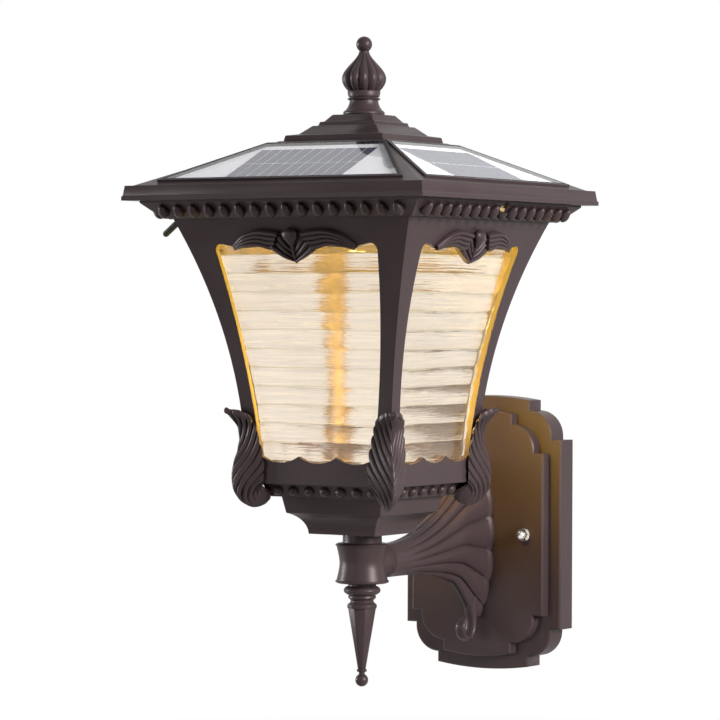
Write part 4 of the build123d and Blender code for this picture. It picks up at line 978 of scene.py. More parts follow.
@dataclass
class CornerLeaves:
    """Leaves on the lower corners: ribbed wings either side of a vein, a rolled lip and a hooked toe."""

    stations: tuple[LeafStation, ...] = (
        LeafStation(-17.6, -9.7, 3.2, 3.4, 1.0),
        LeafStation(-13.0, -14.0, 7.6, 10.5, 1.0),
        LeafStation(-5.0, -15.9, 10.6, 16.5, 0.8),
        LeafStation(3.6, -12.0, 12.4, 18.5, 0.5),
        LeafStation(9.4, -4.4, 12.6, 20.5, 0.25),
        LeafStation(11.4, 4.8, 13.6, 21.5, 0.05),
        LeafStation(10.2, 14.5, 14.2, 20.5, 0.0),
        LeafStation(7.2, 24.2, 13.4, 16.0, 0.0),
        LeafStation(5.8, 34.0, 12.2, 12.3, 0.0),
        LeafStation(8.0, 43.8, 11.2, 12.3, 0.0),
        LeafStation(15.9, 52.6, 10.6, 17.0, 0.0),
    )
    barbs: float = 10.0
    lean: float = 0.40
    barb_depth: float = 2.7
    barb_round: float = 0.55
    barb_fade: float = 5.0
    eye_depth: float = 1.5
    eye_place: float = 0.8
    eye_spread: float = 0.12
    vein_depth: float = 0.8
    vein_share: float = 0.06
    lobe: float = 0.09
    lobe_power: int = 4
    wrap_power: float = 1.3
    droop: float = 6.0
    droop_from: float = 0.74
    droop_power: float = 2.5
    toe_plain: float = 0.7
    toe_fade: float = 4.5
    tip_least: float = 0.2
    tip_fade: float = 12.0
    thickness: float = 2.2
    lip_radius: float = 2.0
    lip_depth: float = 0.8
    lip_lobes: float = 3.5
    lip_swell: float = 0.12
    lip_wave: Triple = (0.5, 0.0, 0.2)
    lip_inset: float = 0.01
    lip_place: float = 0.985
    lip_end: float = 0.45
    lip_fade: float = 8.0
    columns: int = 84
    rows: int = 170

    def __post_init__(self) -> None:
        """Lays the ridge, and the form of the sections beside it."""
        corner = FLARE.sill_half * sqrt(2)
        self.ridge = Path(*[(corner + cut.out, 0, FLARE.foot + cut.up) for cut in self.stations])
        self.form = Path(*[(cut.half, cut.wrap, cut.scoop) for cut in self.stations])

    def build(self) -> None:
        """Models and dresses the leaves."""
        for corner in Corner:
            name = "corner_leaf_" + corner.name.lower()
            casting = Casting()
            blade = grid(self.columns, self.rows, self.skin)
            bmesh.ops.solidify(blade, geom=blade.faces[:], thickness=self.thickness)
            casting.add(outward(blade), corner.turn())
            casting.add(self.lip(), corner.turn())
            casting.finish(name + "_carved", Slot.PAINT, Body.LANTERN, name, sharp=55.0)

    def rib(self, spread: float, along: float) -> float:
        """Height of the ribs, from zero in a groove to one on a rib."""
        return abs(cos(pi * self.barbs * (along - self.lean * spread))) ** self.barb_round

    def skin(self, across: float, along: float) -> Vector:
        """Point on the outer face of a leaf along +X.

        Args:
            across: Share across the leaf.
            along: Share from the toe to the tip.

        Returns:
            The point.
        """
        side = 2 * across - 1
        rib = self.rib(abs(side), along)
        toe = max(0.0, self.toe_fade * along - self.toe_plain)
        ends = min(1.0, toe, self.tip_fade * (1 - along) + self.tip_least)
        side *= 1 + self.lobe * (rib - 1) * ends * side ** self.lobe_power
        spread = abs(side)
        half, wrap, scoop = self.form.at(along)
        run = self.ridge.run(along)
        out = Vector((run.z, 0, -run.x))
        back = Vector((1 - scoop, 0, -scoop)).normalized()
        steep = wrap * self.wrap_power * spread ** (self.wrap_power - 1)
        normal = (half * out + Vector((0, steep if side > 0 else -steep, 0))).normalized()
        eye = exp(-((spread - self.eye_place) / self.eye_spread) ** 2) * (1 - rib) ** 2
        relief = self.barb_depth * (rib - 1) * min(1.0, self.barb_fade * spread) - self.eye_depth * eye
        relief = relief * ends - self.vein_depth * exp(-(spread / self.vein_share) ** 2)
        fall = max(0.0, along - self.droop_from) / (1 - self.droop_from)
        point = self.ridge.at(along) + normal * relief - back * (wrap * spread ** self.wrap_power)
        return point + Vector((0, side * half, -self.droop * fall ** 2 * spread ** self.droop_power))

    def lip(self) -> BMesh:
        """Rolled, ruffled lip along the leaf's tip."""
        def place(share: float, angle: float) -> Vector:
            """Point on the lip's skin."""
            wave = cos(2 * pi * self.lip_lobes * (share - 0.5))
            ends = min(1.0, self.lip_end + self.lip_fade * share, self.lip_end + self.lip_fade * (1 - share))
            swell = self.lip_radius * (1 + self.lip_swell * wave) * ends
            across = self.lip_inset + (1 - 2 * self.lip_inset) * share
            centre = self.skin(across, self.lip_place) + Vector(self.lip_wave) * wave
            return centre + Vector((self.lip_depth * cos(angle), 0, sin(angle))) * swell

        return tube(rings=72, sides=16, place=place)


@dataclass
class WindowCrests:
    """Pair of feathered wings over each window, with a ribbed fan and a knob between them.

    Lines run in the plane of the side, as (right, up, out) from the crest's middle.
    """

    drop: float = 18.0
    web_foot: float = -2.4
    web_rise: float = 4.0
    web_steps: int = 24
    web_upper: Line = ((51.4, -3.2), (46, 3.2), (37, 8.6), (23, 10.4), (12, 8.6), (0, 9.0))
    web_lower: Line = ((0, -14.1), (7, -10.2), (14.7, -6.2), (22.7, -2.6), (31, -1.2), (42, -1.9),
                       (51.4, -3.4))
    feathers: int = 4
    feather: Line = ((10.4, 7.7, 2.6), (19, 8.8, 2.2), (29, 9.2, 1.8), (40, 6.0, 1.6), (50.8, -1.4, 1.2))
    feather_step: Line = ((1.6, -2.9), (0, -3.5), (0, -2.9), (0, -2.2), (-0.3, -0.75))
    feather_girth: Line = ((1.8, 2.9), (2.0, 3.1), (1.75, 3.0), (1.4, 2.6), (0.9, 1.6))
    fan_roots: Line = ((1.4, -5.0, 1.8), (1.2, -8.8, 1.8), (0.6, -12.4, 1.8))
    fan_tips: Line = ((10.6, 5.6, 1.4), (12.6, 1.2, 1.4), (15.6, -3.4, 1.4))
    fan_sag: float = 0.6
    fan_rise: float = 2.0
    fan_girth: Line = ((0.8, 1.4), (1.6, 2.3), (2.3, 2.5))
    knob: Line = ((0, -2.2, 2.6), (0, 2.2, 3.3), (0, 6.6, 3.6), (0, 10.2, 3.2), (0, 12.4, 2.4))
    knob_girth: Line = ((0.3, 0.6), (3.4, 2.6), (6.0, 3.4), (5.2, 2.8), (0.8, 0.8))
    stem: Line = ((0, -14.0, 0.8), (0, -8.0, 2.4), (0, -1.0, 2.8))
    stem_girth: Line = ((0.5, 1.0), (1.1, 1.5), (1.5, 1.6))

    def build(self) -> None:
        """Models and dresses the crests."""
        height = FLARE.top - self.drop
        out = Vector((0, -1, -FLARE.lean(height)))
        face = plane(Vector((0, -FLARE.half(height), height)), out)
        for side in Side:
            name = "window_crest_" + side.name.lower()
            casting = Casting()
            for hand in (1, -1):
                for shape in self.wing(hand) + self.fan(hand):
                    casting.add(shape, side.turn() @ face)
            for shape in (self.web(), *self.middle()):
                casting.add(shape, side.turn() @ face)
            casting.finish(name + "_feathered", Slot.PAINT, Body.LANTERN, name, sharp=50.0)

    def web(self) -> BMesh:
        """Plate that carries the feathers, cut to their outline."""
        upper, lower = Path(*self.web_upper), Path(*self.web_lower)
        steps = [step / self.web_steps for step in range(self.web_steps + 1)]
        right = [lower.at(step) for step in steps] + [upper.at(step) for step in steps[1:]]
        left = [Vector((-point.x, point.y)) for point in reversed(right[1:-1])]
        shape = bmesh.new()
        rim = [shape.verts.new((point.x, point.y, self.web_foot)) for point in right + left]
        bmesh.ops.contextual_create(shape, geom=rim)
        bmesh.ops.translate(shape, verts=drawn_out(shape), vec=(0, 0, self.web_rise))
        return outward(shape)

    def wing(self, hand: int) -> list[BMesh]:
        """Feathers of one wing, blunt at the fan and gathered at the tip.

        Args:
            hand: 1 for the right wing, -1 for the left.

        Returns:
            The meshes, in the face's plane.
        """
        shapes = []
        for index in range(self.feathers):
            path = Path(*[(hand * (x + index * right), y + index * up, z)
                          for (x, y, z), (right, up) in zip(self.feather, self.feather_step)])
            shapes.append(limb(path, UP, Path(*self.feather_girth), rings=36, sides=14))
        return shapes

    def fan(self, hand: int) -> list[BMesh]:
        """Ribs of one half of the fan under the knob.

        Args:
            hand: 1 for the right half, -1 for the left.

        Returns:
            The meshes, in the face's plane.
        """
        shapes = []
        for (x, y, z), (far_x, far_y, far_z) in zip(self.fan_roots, self.fan_tips):
            middle = (hand * (x + far_x) / 2, (y + far_y) / 2 - self.fan_sag, self.fan_rise)
            path = Path((hand * x, y, z), middle, (hand * far_x, far_y, far_z))
            shapes.append(limb(path, UP, Path(*self.fan_girth), rings=20, sides=12))
        return shapes

    def middle(self) -> list[BMesh]:
        """Teardrop knob and the stem under it."""
        knob = limb(Path(*self.knob), UP, Path(*self.knob_girth), rings=30, sides=24)
        stem = limb(Path(*self.stem), UP, Path(*self.stem_girth), rings=16, sides=12)
        return [knob, stem]


@dataclass
class TrumpetArm:
    """Fluted arm that widens from the collar's boss to the plate, with a scroll under it.

    The scroll's line runs by (out, up) from the plate's face.
    """

    boss_radius: float = 12.5
    boss_length: float = 27.5
    flare_half_height: float = 60.0
    flare_half_width: float = 14.6
    flare_power: float = 2.3
    level_share: float = 0.75
    flutes: int = 14
    flute_depth: float = 3.4
    flute_round: float = 0.55
    flute_least: float = 0.2
    flute_fade: float = 3.0
    sides_to_a_flute: int = 12
    rim_share: float = 0.972
    rim_swell: float = 1.0
    rim_flute: float = 0.6
    tail_drop: float = 8.0
    tail_place: float = 0.93
    tail_spread: float = 0.10
    tail_power: int = 8
    scroll: Line = ((-7, -40), (-9, -50), (-8.5, -58), (-8, -66), (-9.5, -74.5), (-15, -79.2), (-21.5, -77),
                    (-24, -70), (-20, -64))
    scroll_girth: Line = ((4, 4), (5, 5.4), (4.2, 5), (3, 4.6), (2.4, 4.5), (2.3, 4.4), (2.2, 4.2), (2.1, 4),
                          (1.3, 3.4))
    boss_drop: float = field(default_factory=lambda: sum(part.z for part in corners("collar")) / 2)
    plate_front: float = field(default_factory=lambda: corners("wall_plate")[0].y)

    def build(self) -> None:
        """Models and dresses the arm."""
        scroll = Path(*[(0, self.plate_front + out, up) for out, up in self.scroll])
        casting = Casting()
        casting.add(tube(rings=90, sides=self.sides_to_a_flute * self.flutes, place=self.skin))
        casting.add(limb(scroll, RIGHT, Path(*self.scroll_girth), rings=60, sides=20))
        casting.finish("wall_arm_fluted", Slot.PAINT, Body.LANTERN, "wall_arm", sharp=60.0)

    def skin(self, share: float, angle: float) -> Vector:
        """Point on the fluted skin.

        Args:
            share: Share from the collar to the plate.
            angle: Angle round the section.

        Returns:
            The point.
        """
        start = AXIS.translation.y + self.boss_length
        end = self.plate_front
        rise = share ** self.flare_power
        half_height = self.boss_radius + (self.flare_half_height - self.boss_radius) * rise
        half_width = self.boss_radius + (self.flare_half_width - self.boss_radius) * rise
        ridge = abs(cos(self.flutes / 2 * angle)) ** self.flute_round
        depth = self.flute_depth * min(1.0, self.flute_least + share) * min(1.0, self.flute_fade * share)
        cut = depth * (1 - ridge)
        if share > self.rim_share:
            cut = self.rim_flute * cut - self.rim_swell
        centre = self.boss_drop * cos(pi / 2 * min(1.0, share / self.level_share))
        tail = self.tail_drop * exp(-((share - self.tail_place) / self.tail_spread) ** 2)
        tail *= max(0.0, -sin(angle)) ** self.tail_power
        x = (half_width - cut) * cos(angle)
        return Vector((x, start + (end - start) * share, centre - tail + (half_height - cut) * sin(angle)))


@dataclass
class ArmCollar:
    """Waisted spool under the lantern, with the short boss that carries the arm.

    The lip's curve is by set-in from the rim and share of the lip, the boss's edge by set-in and
    distance from its end.
    """

    rim_radius: float = 19.5
    waist_radius: float = 16.4
    waist_ease: float = 0.8
    lip: float = 2.2
    lip_curve: Line = ((1.9, 0), (0.4, 0.3), (0, 0.6), (0.3, 0.9))
    lip_root: float = 0.9
    boss_radius: float = 12.9
    boss_length: float = 27.5
    boss_edge: Line = ((0, 1.0), (0.3, 0.4), (0.9, 0.1))
    waist_steps: int = 24

    def build(self) -> None:
        """Models and dresses the spool and its boss."""
        low, high = corners("collar")
        middle = AXIS @ Matrix.Translation((0, 0, (low.z + high.z) / 2))
        casting = Casting()
        casting.add(self.spool((high.z - low.z) / 2), middle)
        casting.add(self.boss(), middle @ Matrix.Rotation(radians(-90), 4, "X"))
        casting.finish("collar_waisted", Slot.PAINT, Body.LANTERN, "collar", sharp=35.0)

    def spool(self, half: float) -> BMesh:
        """Spool about its middle.

        Args:
            half: Half of its height.

        Returns:
            The mesh.
        """
        rim, eased_waist = self.rim_radius, self.waist_radius + self.waist_ease
        root = half - self.lip
        hollow = Path((rim - self.lip_root, -root), (eased_waist, -root / 2), (self.waist_radius, 0),
                      (eased_waist, root / 2), (rim - self.lip_root, root))
        waist = [tuple(hollow.at(step / self.waist_steps)) for step in range(self.waist_steps + 1)]
        lip = [(rim - inset, share * self.lip - half) for inset, share in self.lip_curve]
        foot = [(0, -half), *lip]
        head = [(radius, -height) for radius, height in reversed(foot)]
        return turned([*foot, *waist, *head])

    def boss(self) -> BMesh:
        """Boss along +Z, from the spool's middle to its eased end."""
        edge = [(self.boss_radius - inset, self.boss_length - back) for inset, back in self.boss_edge]
        return turned([(0, 0), (self.boss_radius, 0), *edge, (0, self.boss_length)])


@dataclass
class DropFinial:
    """Turned rings under the collar, a faceted spike and a ball. Profiles are by (radius, height)."""

    rings: Line = (
        (10.2, -30), (11.8, -30.6), (13.0, -31.8), (13.4, -33.2), (12.8, -34.8), (10.8, -36.2), (9.6, -36.8),
        (10.1, -37.6), (10.1, -38.6), (9.2, -39.4), (8.4, -40.4), (8.4, -41.6), (9.6, -42.6), (10.6, -43.6),
        (10.8, -45), (10.4, -46.2), (0, -46.2))
    stem_radius: float = 10.2
    facets: int = 8
    spike_head: float = -46.2
    spike_foot: float = -90.2
    spike_radius: float = 10.4
    spike_tip: float = 3.0
    spike_edge: float = 0.5
    ring_radius: float = 3.8
    ring_height: float = 2.0
    ring_crown: float = 0.2
    ring_ease: float = 0.85
    neck_radius: float = 2.2
    ball_radius: float = 4.7
    ball_height: float = -98.2

    def build(self) -> None:
        """Models and dresses the finial."""
        top = corners("collar")[0].z
        radius, head, foot = self.neck_radius, self.spike_foot, self.ball_height
        rings = turned([(0, top), (self.stem_radius, top), *self.rings])
        neck = turned([(0, head), (radius, head), (radius, foot), (0, foot)], steps=40)
        casting = Casting()
        for shape in (rings, self.spike(), self.ring(), neck):
            casting.add(shape, AXIS)
        casting.add(ball(self.ball_radius, Matrix.Translation((0, 0, foot)), fineness=40), AXIS)
        casting.finish("drop_finial_turned", Slot.PAINT, Body.LANTERN, "drop_finial", sharp=35.0)

    def ring(self) -> BMesh:
        """Small ring under the spike."""
        head, foot = self.spike_foot, self.spike_foot - self.ring_height
        eased_radius = self.ring_ease * self.ring_radius
        girth = [(eased_radius, head), (self.ring_radius, (head + foot) / 2), (eased_radius, foot)]
        return turned([(0, head + self.ring_crown), *girth, (0, foot - self.ring_crown)], steps=40)

    def spike(self) -> BMesh:
        """Faceted spike with rounded edges."""
        shape = bmesh.new()
        bmesh.ops.create_cone(shape, cap_ends=True, segments=self.facets, radius1=self.spike_tip,
                              radius2=self.spike_radius, depth=self.spike_head - self.spike_foot)
        shape.transform(Matrix.Translation((0, 0, (self.spike_head + self.spike_foot) / 2)))
        bmesh.ops.bevel(shape, geom=shape.edges[:], offset=self.spike_edge, offset_type="OFFSET", segments=2,
                        profile=0.5, affect="EDGES", material=-1)
        return outward(shape)


@dataclass
class CorniceBeads:
    """Row of teardrop beads on each sloping face under the eaves."""

    foot_half: float = 103.26
    head_half: float = 115.6
    foot_height: float = 233.7
    head_height: float = 244.8
    count: int = 16
    pitch: float = 13.0
    radius: float = 3.8
    length: float = 11.7
    belly: float = 0.72
    fullness: float = 0.56
    point_radius: float = 0.05
    proud: float = 2.0
    drop: float = 0.5
    switch_place: float = 66.5
    switch_room: float = 8.62
    screw_place: float = 6.5
    screw_room: float = 0.1
    screw_foot: float = 238.0

    def build(self) -> None:
        """Models and dresses the beads."""
        casting = Casting()
        foot = Vector((0, -self.foot_half, self.foot_height))
        head = Vector((0, -self.head_half, self.head_height))
        up = (head - foot).normalized()
        out = Vector((0, -up.z, up.y))
        base = (foot + head) / 2 + out * self.proud - up * self.drop
        for side in Side:
            for index in range(self.count):
                x = (index - (self.count - 1) / 2) * self.pitch
                if side is Side.LEFT and abs(x - self.switch_place) < self.switch_room:
                    continue
                bead = self.bead(up, out)
                if self.screwed(side, x):
                    self.cut_for_screw(bead, self.screw_foot - base.z)
                casting.add(bead, side.turn() @ Matrix.Translation(base + Vector((x, 0, 0))))
        casting.finish("cornice_beads", Slot.PAINT, Body.HEAD, sharp=70.0)

    def screwed(self, side: Side, x: float) -> bool:
        """Whether a side screw sits in the upper half of the bead at a place along a side."""
        place = {Side.RIGHT: self.screw_place, Side.LEFT: -self.screw_place}.get(side)
        return place is not None and abs(x - place) < self.screw_room

    def cut_for_screw(self, bead: BMesh, height: float) -> None:
        """Cuts a bead off level below the screw.

        Args:
            bead: Mesh of the bead.
            height: Height of the cut from the bead's widest place.
        """
        bmesh.ops.bisect_plane(bead, geom=bead.verts[:] + bead.edges[:] + bead.faces[:],
                               plane_co=(0, 0, height), plane_no=(0, 0, 1), clear_outer=True)
        bmesh.ops.holes_fill(bead, edges=bead.edges[:], sides=0)
        outward(bead)

    def bead(self, up: Vector, out: Vector) -> BMesh:
        """Teardrop, round below and pointed above.

        Args:
            up: Direction of its point.
            out: Direction out of the slope.

        Returns:
            The mesh, about its widest place.
        """
        def place(share: float, angle: float) -> Vector:
            """Point on the bead's skin."""
            width = self.point_radius
            if 0 < share < 1:
                width = self.radius * sin(pi * min(1.0, share ** self.belly)) ** self.fullness
            height = -self.radius + self.length * share
            return up * height + (RIGHT * cos(angle) + out * sin(angle)) * width

        return tube(rings=14, sides=16, place=place)


@dataclass
class RailBeads:
    """Row of oval beads on each side of the rail."""

    half: float = 50.0
    count: int = 7
    pitch: float = 13.3
    radius: float = 3.8
    stretch: Triple = (1.10, 1.0, 0.99)

    def build(self) -> None:
        """Models and dresses the beads."""
        low, high = corners("beaded_rail")
        casting = Casting()
        for side in Side:
            for index in range(self.count):
                x = (index - (self.count - 1) / 2) * self.pitch
                place = Matrix.Translation((x, -self.half, (low.z + high.z) / 2))
                oval = Matrix.Diagonal((*self.stretch, 1.0))
                casting.add(ball(self.radius, place @ oval, fineness=24), side.turn())
        casting.finish("rail_beads", Slot.PAINT, Body.LANTERN, sharp=70.0)


@dataclass
class TopFinial:
    """Turned foot and collar, a lobed onion bulb and a ball. Profiles are by (radius, height)."""

    foot: Line = ((0, 0), (14.6, 0), (15.0, 0.4))
    hollow: Line = ((15.0, 2.2), (12.6, 4.4), (10.9, 7.6), (10.3, 10.6))
    hollow_steps: int = 10
    collar: Line = ((11.6, 11.0), (11.9, 11.6), (11.6, 12.2), (10.4, 12.6), (10.6, 13.2), (11.4, 13.4),
                    (12.0, 17.0), (11.6, 17.5), (0, 17.6))
    bulb_foot: float = 17.5
    bulb_radius: float = 16.0
    bulb_height: float = 28.6
    widest: float = 0.3
    tuck: float = 0.28
    taper: float = 1.7
    tip_radius: float = 3.6
    lobes: int = 12
    lobe_depth: float = 0.13
    lobe_end: float = 1.05
    lobe_fade: float = 3.0
    sides_to_a_lobe: int = 12
    ball_radius: float = 5.8
    ball_sink: float = 0.9

    def build(self) -> None:
        """Models and dresses the finial."""
        base = AXIS @ Matrix.Translation((0, 0, corners("top_finial")[0].z))
        hollow = Path(*self.hollow)
        curve = [tuple(hollow.at(step / self.hollow_steps)) for step in range(self.hollow_steps + 1)]
        bulb = base @ Matrix.Translation((0, 0, self.bulb_foot))
        centre = self.bulb_height + self.ball_radius - self.ball_sink
        casting = Casting()
        casting.add(turned([*self.foot, *curve, *self.collar]), base)
        casting.add(tube(rings=64, sides=self.sides_to_a_lobe * self.lobes, place=self.skin), bulb)
        casting.add(ball(self.ball_radius, Matrix.Translation((0, 0, centre)), fineness=40), bulb)
        casting.finish("top_finial_lobed", Slot.PAINT, Body.HEAD, "top_finial", sharp=50.0)

    def skin(self, share: float, angle: float) -> Vector:
        """Point on the lobed bulb.

        Args:
            share: Share of the bulb's height.
            angle: Angle round it.

        Returns:
            The point.
        """
        if share < self.widest:
            radius = self.bulb_radius * (1 - self.tuck * ((self.widest - share) / self.widest) ** 2)
        else:
            fall = max(0.0, cos(pi / 2 * (share - self.widest) / (1 - self.widest))) ** self.taper
            radius = self.tip_radius + (self.bulb_radius - self.tip_radius) * fall
        depth = self.lobe_depth * min(1.0, self.lobe_fade * (self.lobe_end - share))
        radius *= 1 - depth * (1 - abs(cos(self.lobes / 2 * angle)))
        return Vector((radius * cos(angle), radius * sin(angle), share * self.bulb_height))


@dataclass
class SolarPanels:
    """Cells of the four panels, on a UV map that carries their printed lines."""

    slope: float = 0.4426
    low_half: float = 112.5
    high_half: float = 51.5
    slope_foot_half: float = 119.2
    slope_head_half: float = 44.0
    stand: float = 1.6
    block_width: float = 98.0
    block_height: float = 54.0
    block_drop: float = 2.4
    columns: int = 11
    rows: int = 2
    gap: float = 1.7
    depth: float = 1.85
    thickness: float = 0.2

    def build(self) -> None:
        """Models and dresses the cells."""
        eaves = corners("roof_frame")[1].z - (self.slope_foot_half - self.slope_head_half) * self.slope
        middle = (self.low_half + self.high_half) / 2
        height = eaves + (self.slope_foot_half - middle) * self.slope
        height += self.stand * sqrt(1 + self.slope ** 2)
        face = plane(Vector((0, -middle, height)), Vector((0, -self.slope, 1)))
        casting = Casting(CELL_UV)
        casting.add(self.cells(), *[side.turn() @ face for side in Side])
        casting.finish("solar_cells_printed", Slot.CELL, Body.HEAD, "solar_cells", sharp=30.0)

    def cells(self) -> BMesh:
        """Cells of one panel, in the panel's plane.

        Returns:
            The mesh, with a UV map in columns across and millimetres along.
        """
        width, height = self.block_width, self.block_height

        def place(across: float, along: float) -> Vector:
            """Corner of a cell."""
            return Vector(((across - 0.5) * width, (along - 0.5) * height, 0))

        shape = grid(self.columns, self.rows, place)
        rims = bmesh.ops.inset_individual(shape, faces=shape.faces[:], thickness=self.gap / 2)["faces"]
        bmesh.ops.delete(shape, geom=rims, context="FACES")
        print_map(shape, CELL_UV, lambda point: ((point.x / width + 0.5) * self.columns, point.y))
        bmesh.ops.solidify(shape, geom=shape.faces[:], thickness=self.thickness)
        shape.transform(Matrix.Translation((0, -self.block_drop, -self.depth)))
        return outward(shape)


@dataclass
class EasedCastings:
    """Painted castings that keep their CAD form, with rounded edges of a given width."""

    lantern: dict[str, float] = field(default_factory=lambda: {
        "wall_plate": 0.8, "neck_spacer": 0.3, "base_pan": 0.7,
        "side_frame_front": 0.7, "side_frame_right": 0.7, "side_frame_back": 0.7, "side_frame_left": 0.7,
    })
    head: dict[str, float] = field(default_factory=lambda: {"roof_frame": 0.35, "roof_cap": 0.5})

    def build(self) -> None:
        """Rounds and dresses the castings."""
        for body, edges in ((Body.LANTERN, self.lantern), (Body.HEAD, self.head)):
            for node, edge in edges.items():
                eased(node, body, edge)


# Studio


def hang(data: bpy.types.Light, place: Vector, mirrored: bool) -> Object:
    """Hangs a lamp that isn't seen itself.

    Args:
        data: The lamp's light.
        place: Where it hangs, in metres.
        mirrored: Whether shiny surfaces mirror it.

    Returns:
        The lamp.
    """
    lamp = bpy.data.objects.new(data.name, data)
    lamp.location = place
    lamp.visible_camera = False
    lamp.visible_glossy = mirrored
    lamp.visible_transmission = False
    bpy.context.scene.collection.objects.link(lamp)
    return lamp


@dataclass(frozen=True)
class Softbox:
    """Flat lamp. Its size is in metres, its power in watts and the spread of its light in degrees."""

    name: str
    power: float
    colour: Colour
    size: tuple[float, float]
    spread: float = 180.0
    mirrored: bool = True

    def light(self, place: Vector, aim: Vector) -> None:
        """Hangs the lamp.

        Args:
            place: Where it hangs.
            aim: Where it points.
        """
        data = bpy.data.lights.new(self.name, "AREA")
        data.energy = self.power
        data.color = self.colour
        data.shape = "RECTANGLE"
        data.size, data.size_y = self.size
        data.spread = radians(self.spread)
        lamp = hang(data, place, self.mirrored)
        lamp.rotation_euler = (aim - place).to_track_quat("-Z", "Y").to_euler()


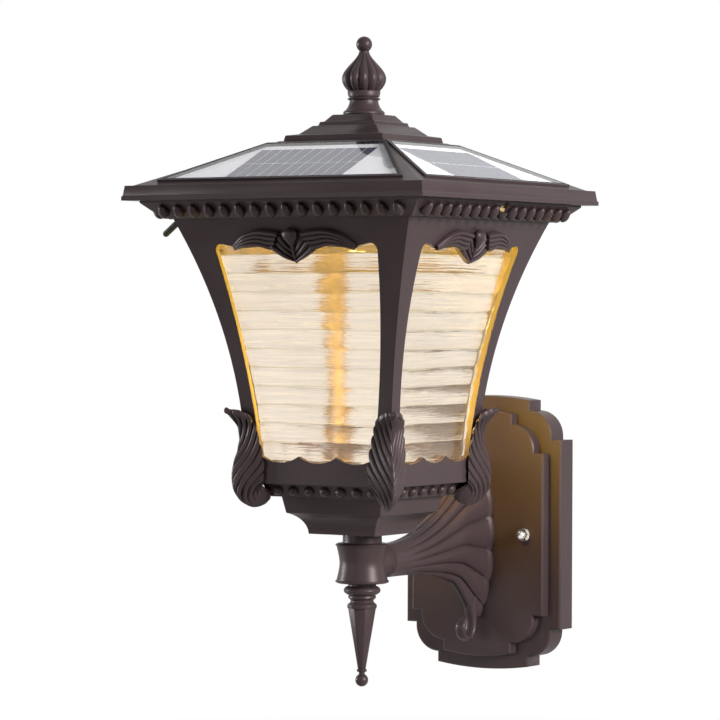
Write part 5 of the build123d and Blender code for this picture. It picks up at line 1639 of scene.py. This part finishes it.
@dataclass
class Studio:
    """Camera of the photograph, soft lamps, a white surround and a pale floor. Lengths are metres.

    The places of the lantern's own head and post lamps are millimetres from its upright axis.
    """

    azimuth: float = 32.04
    pitch: float = 0.812
    roll: float = 0.221
    eye: Triple = (1.3406, -2.3346, 0.169)
    lens: float = 175.0
    shift: float = -0.00411
    clip_end: float = 100.0
    surround: float = 0.18
    softboxes: tuple[tuple[Softbox, Triple], ...] = (
        (Softbox("key", 27.0, (1.0, 0.985, 0.97), (1.1, 1.1), 65.0), (2.5, -0.45, 0.9)),
        (Softbox("fill", 8.5, (0.97, 0.98, 1.0), (0.25, 1.15)), (-0.9, -2.5, 0.1)),
        (Softbox("edge", 15.0, (1.0, 0.98, 0.98), (0.18, 1.15), 90.0), (-2.4, -0.9, 0.3)),
        (Softbox("top", 1.2, (1.0, 1.0, 1.0), (1.6, 1.6)), (0.2, -0.8, 2.4)),
    )
    aim_height: float = 0.14
    glow_power: float = 3.2
    glow_colour: Colour = (1.0, 0.66, 0.08)
    glow_radius: float = 0.028
    glow_height: float = 0.125
    inner_colour: Colour = (1.0, 0.84, 0.04)
    head_power: float = 0.9
    head_size: tuple[float, float] = (0.1, 0.01)
    head_place: Triple = (0, -44, 214)
    head_aim: Triple = (0, -90, 232)
    post_power: float = 1.0
    post_size: tuple[float, float] = (0.01, 0.14)
    post_spread: float = 110.0
    post_place: Triple = (52, 0, 150)
    post_aim: Triple = (90, 0, 150)
    floor_gap: float = 0.25
    floor_size: float = 30.0
    floor_dark: Colour = (0.80, 0.80, 0.79)
    floor_light: Colour = (0.84, 0.84, 0.83)
    floor_mottle: float = 3.0
    shadow_scale: Triple = (0.55, 0.55, 0.0)
    shadow_gain: float = 2.0

    def build(self) -> None:
        """Sets up the camera, the lamps, the world and the floor."""
        self.camera()
        self.world()
        self.lamps()
        self.floor()
        bpy.context.scene.view_settings.view_transform = "Standard"

    def camera(self) -> None:
        """Sets the camera where the photograph was taken from."""
        data = bpy.data.cameras.new("camera")
        data.lens = self.lens
        data.shift_x = self.shift
        data.clip_end = self.clip_end
        camera = bpy.data.objects.new("camera", data)
        heading = Matrix.Rotation(radians(self.azimuth), 4, "Z")
        tilt = Matrix.Rotation(radians(90 - self.pitch), 4, "X")
        roll = Matrix.Rotation(radians(self.roll), 4, "Z")
        camera.matrix_world = Matrix.Translation(self.eye) @ heading @ tilt @ roll
        bpy.context.scene.collection.objects.link(camera)
        bpy.context.scene.camera = camera

    def world(self) -> None:
        """Surround that is white where it is seen and softer where it lights."""
        world = bpy.data.worlds.new("surround")
        world.use_nodes = True
        bpy.context.scene.world = world
        net = Net(world.node_tree)
        light = net.add("ShaderNodeBackground", {}, {"Color": WHITE, "Strength": self.seen(net)})
        net.add("ShaderNodeOutputWorld", {}, {"Surface": light.outputs[0]})

    def seen(self, net: Net) -> Value:
        """Strength of the surround: full where it is seen, less where it only lights.

        Args:
            net: Node net of the surround.

        Returns:
            The strength.
        """
        rays = net.add("ShaderNodeLightPath").outputs
        seen = Value(net, rays["Is Camera Ray"]).most(Value(net, rays["Is Glossy Ray"]))
        seen = seen.most(Value(net, rays["Is Transmission Ray"]))
        return self.surround + (1 - self.surround) * seen

    def lamps(self) -> None:
        """Hangs the soft lamps and the warm lamps of the lantern itself."""
        centre = Vector((0.0, AXIS.translation.y * MM, self.aim_height))
        for softbox, place in self.softboxes:
            softbox.light(Vector(place), centre)
        self.glow(Vector((0.0, centre.y, self.glow_height)))
        for side in Side:
            name = "head_glow_" + side.name.lower()
            lamp = Softbox(name, self.head_power, self.inner_colour, self.head_size, mirrored=False)
            turn = side.turn()
            lamp.light(turn @ Vector(self.head_place) * MM, turn @ Vector(self.head_aim) * MM)
        for corner in Corner:
            name = "post_glow_" + corner.name.lower()
            lamp = Softbox(name, self.post_power, self.inner_colour, self.post_size, self.post_spread, False)
            turn = corner.turn()
            lamp.light(turn @ Vector(self.post_place) * MM, turn @ Vector(self.post_aim) * MM)

    def glow(self, place: Vector) -> None:
        """Adds the warm light that fills the lantern.

        Args:
            place: Middle of the light.
        """
        data = bpy.data.lights.new("inner_glow", "POINT")
        data.energy = self.glow_power
        data.color = self.glow_colour
        data.shadow_soft_size = self.glow_radius
        hang(data, place, False)

    def floor(self) -> None:
        """Pale floor that keeps the shadow near the object and runs out into white."""
        shape = bmesh.new()
        bmesh.ops.create_grid(shape, x_segments=1, y_segments=1, size=self.floor_size)
        shape.transform(Matrix.Translation((0, 0, CAD_BOX[0].z - self.floor_gap)))
        data = bpy.data.meshes.new("floor")
        shape.to_mesh(data)
        shape.free()
        data.materials.append(self.floor_material())
        floor = bpy.data.objects.new("floor", data)
        bpy.context.scene.collection.objects.link(floor)

    def floor_material(self) -> Material:
        """Matt floor near the object, and the surround's white away from it."""
        material, net = new_material("pale_floor")
        scaled = {"Vector": net.place(), "Scale": self.shadow_scale}
        where = net.add("ShaderNodeMapping", {}, scaled).outputs[0]
        close = net.value("ShaderNodeTexGradient", {"gradient_type": "SPHERICAL"}, {"Vector": where}, "Fac")
        colour = net.blend(net.noise(self.floor_mottle), self.floor_dark, self.floor_light)
        matt = net.add("ShaderNodeBsdfDiffuse", {}, {"Color": colour})
        white = net.add("ShaderNodeEmission", {}, {"Color": WHITE, "Strength": self.seen(net)})
        net.mixed((close * self.shadow_gain).least(1.0), white.outputs[0], matt.outputs[0])
        return material


def main() -> None:
    """Dresses the frame, builds the pieces in order and sets the stage."""
    logging.basicConfig(level=logging.INFO, format="%(name)s: %(message)s")
    WARDROBE.dress_nodes()
    for part in (EasedCastings(), GlassPanes(), CornerLeaves(), WindowCrests(), TrumpetArm(), ArmCollar(),
                 DropFinial(), CorniceBeads(), RailBeads(), TopFinial(), SolarPanels(), Studio()):
        LOG.info("building %s", type(part).__name__)
        part.build()


if __name__ == "__main__":
    main()
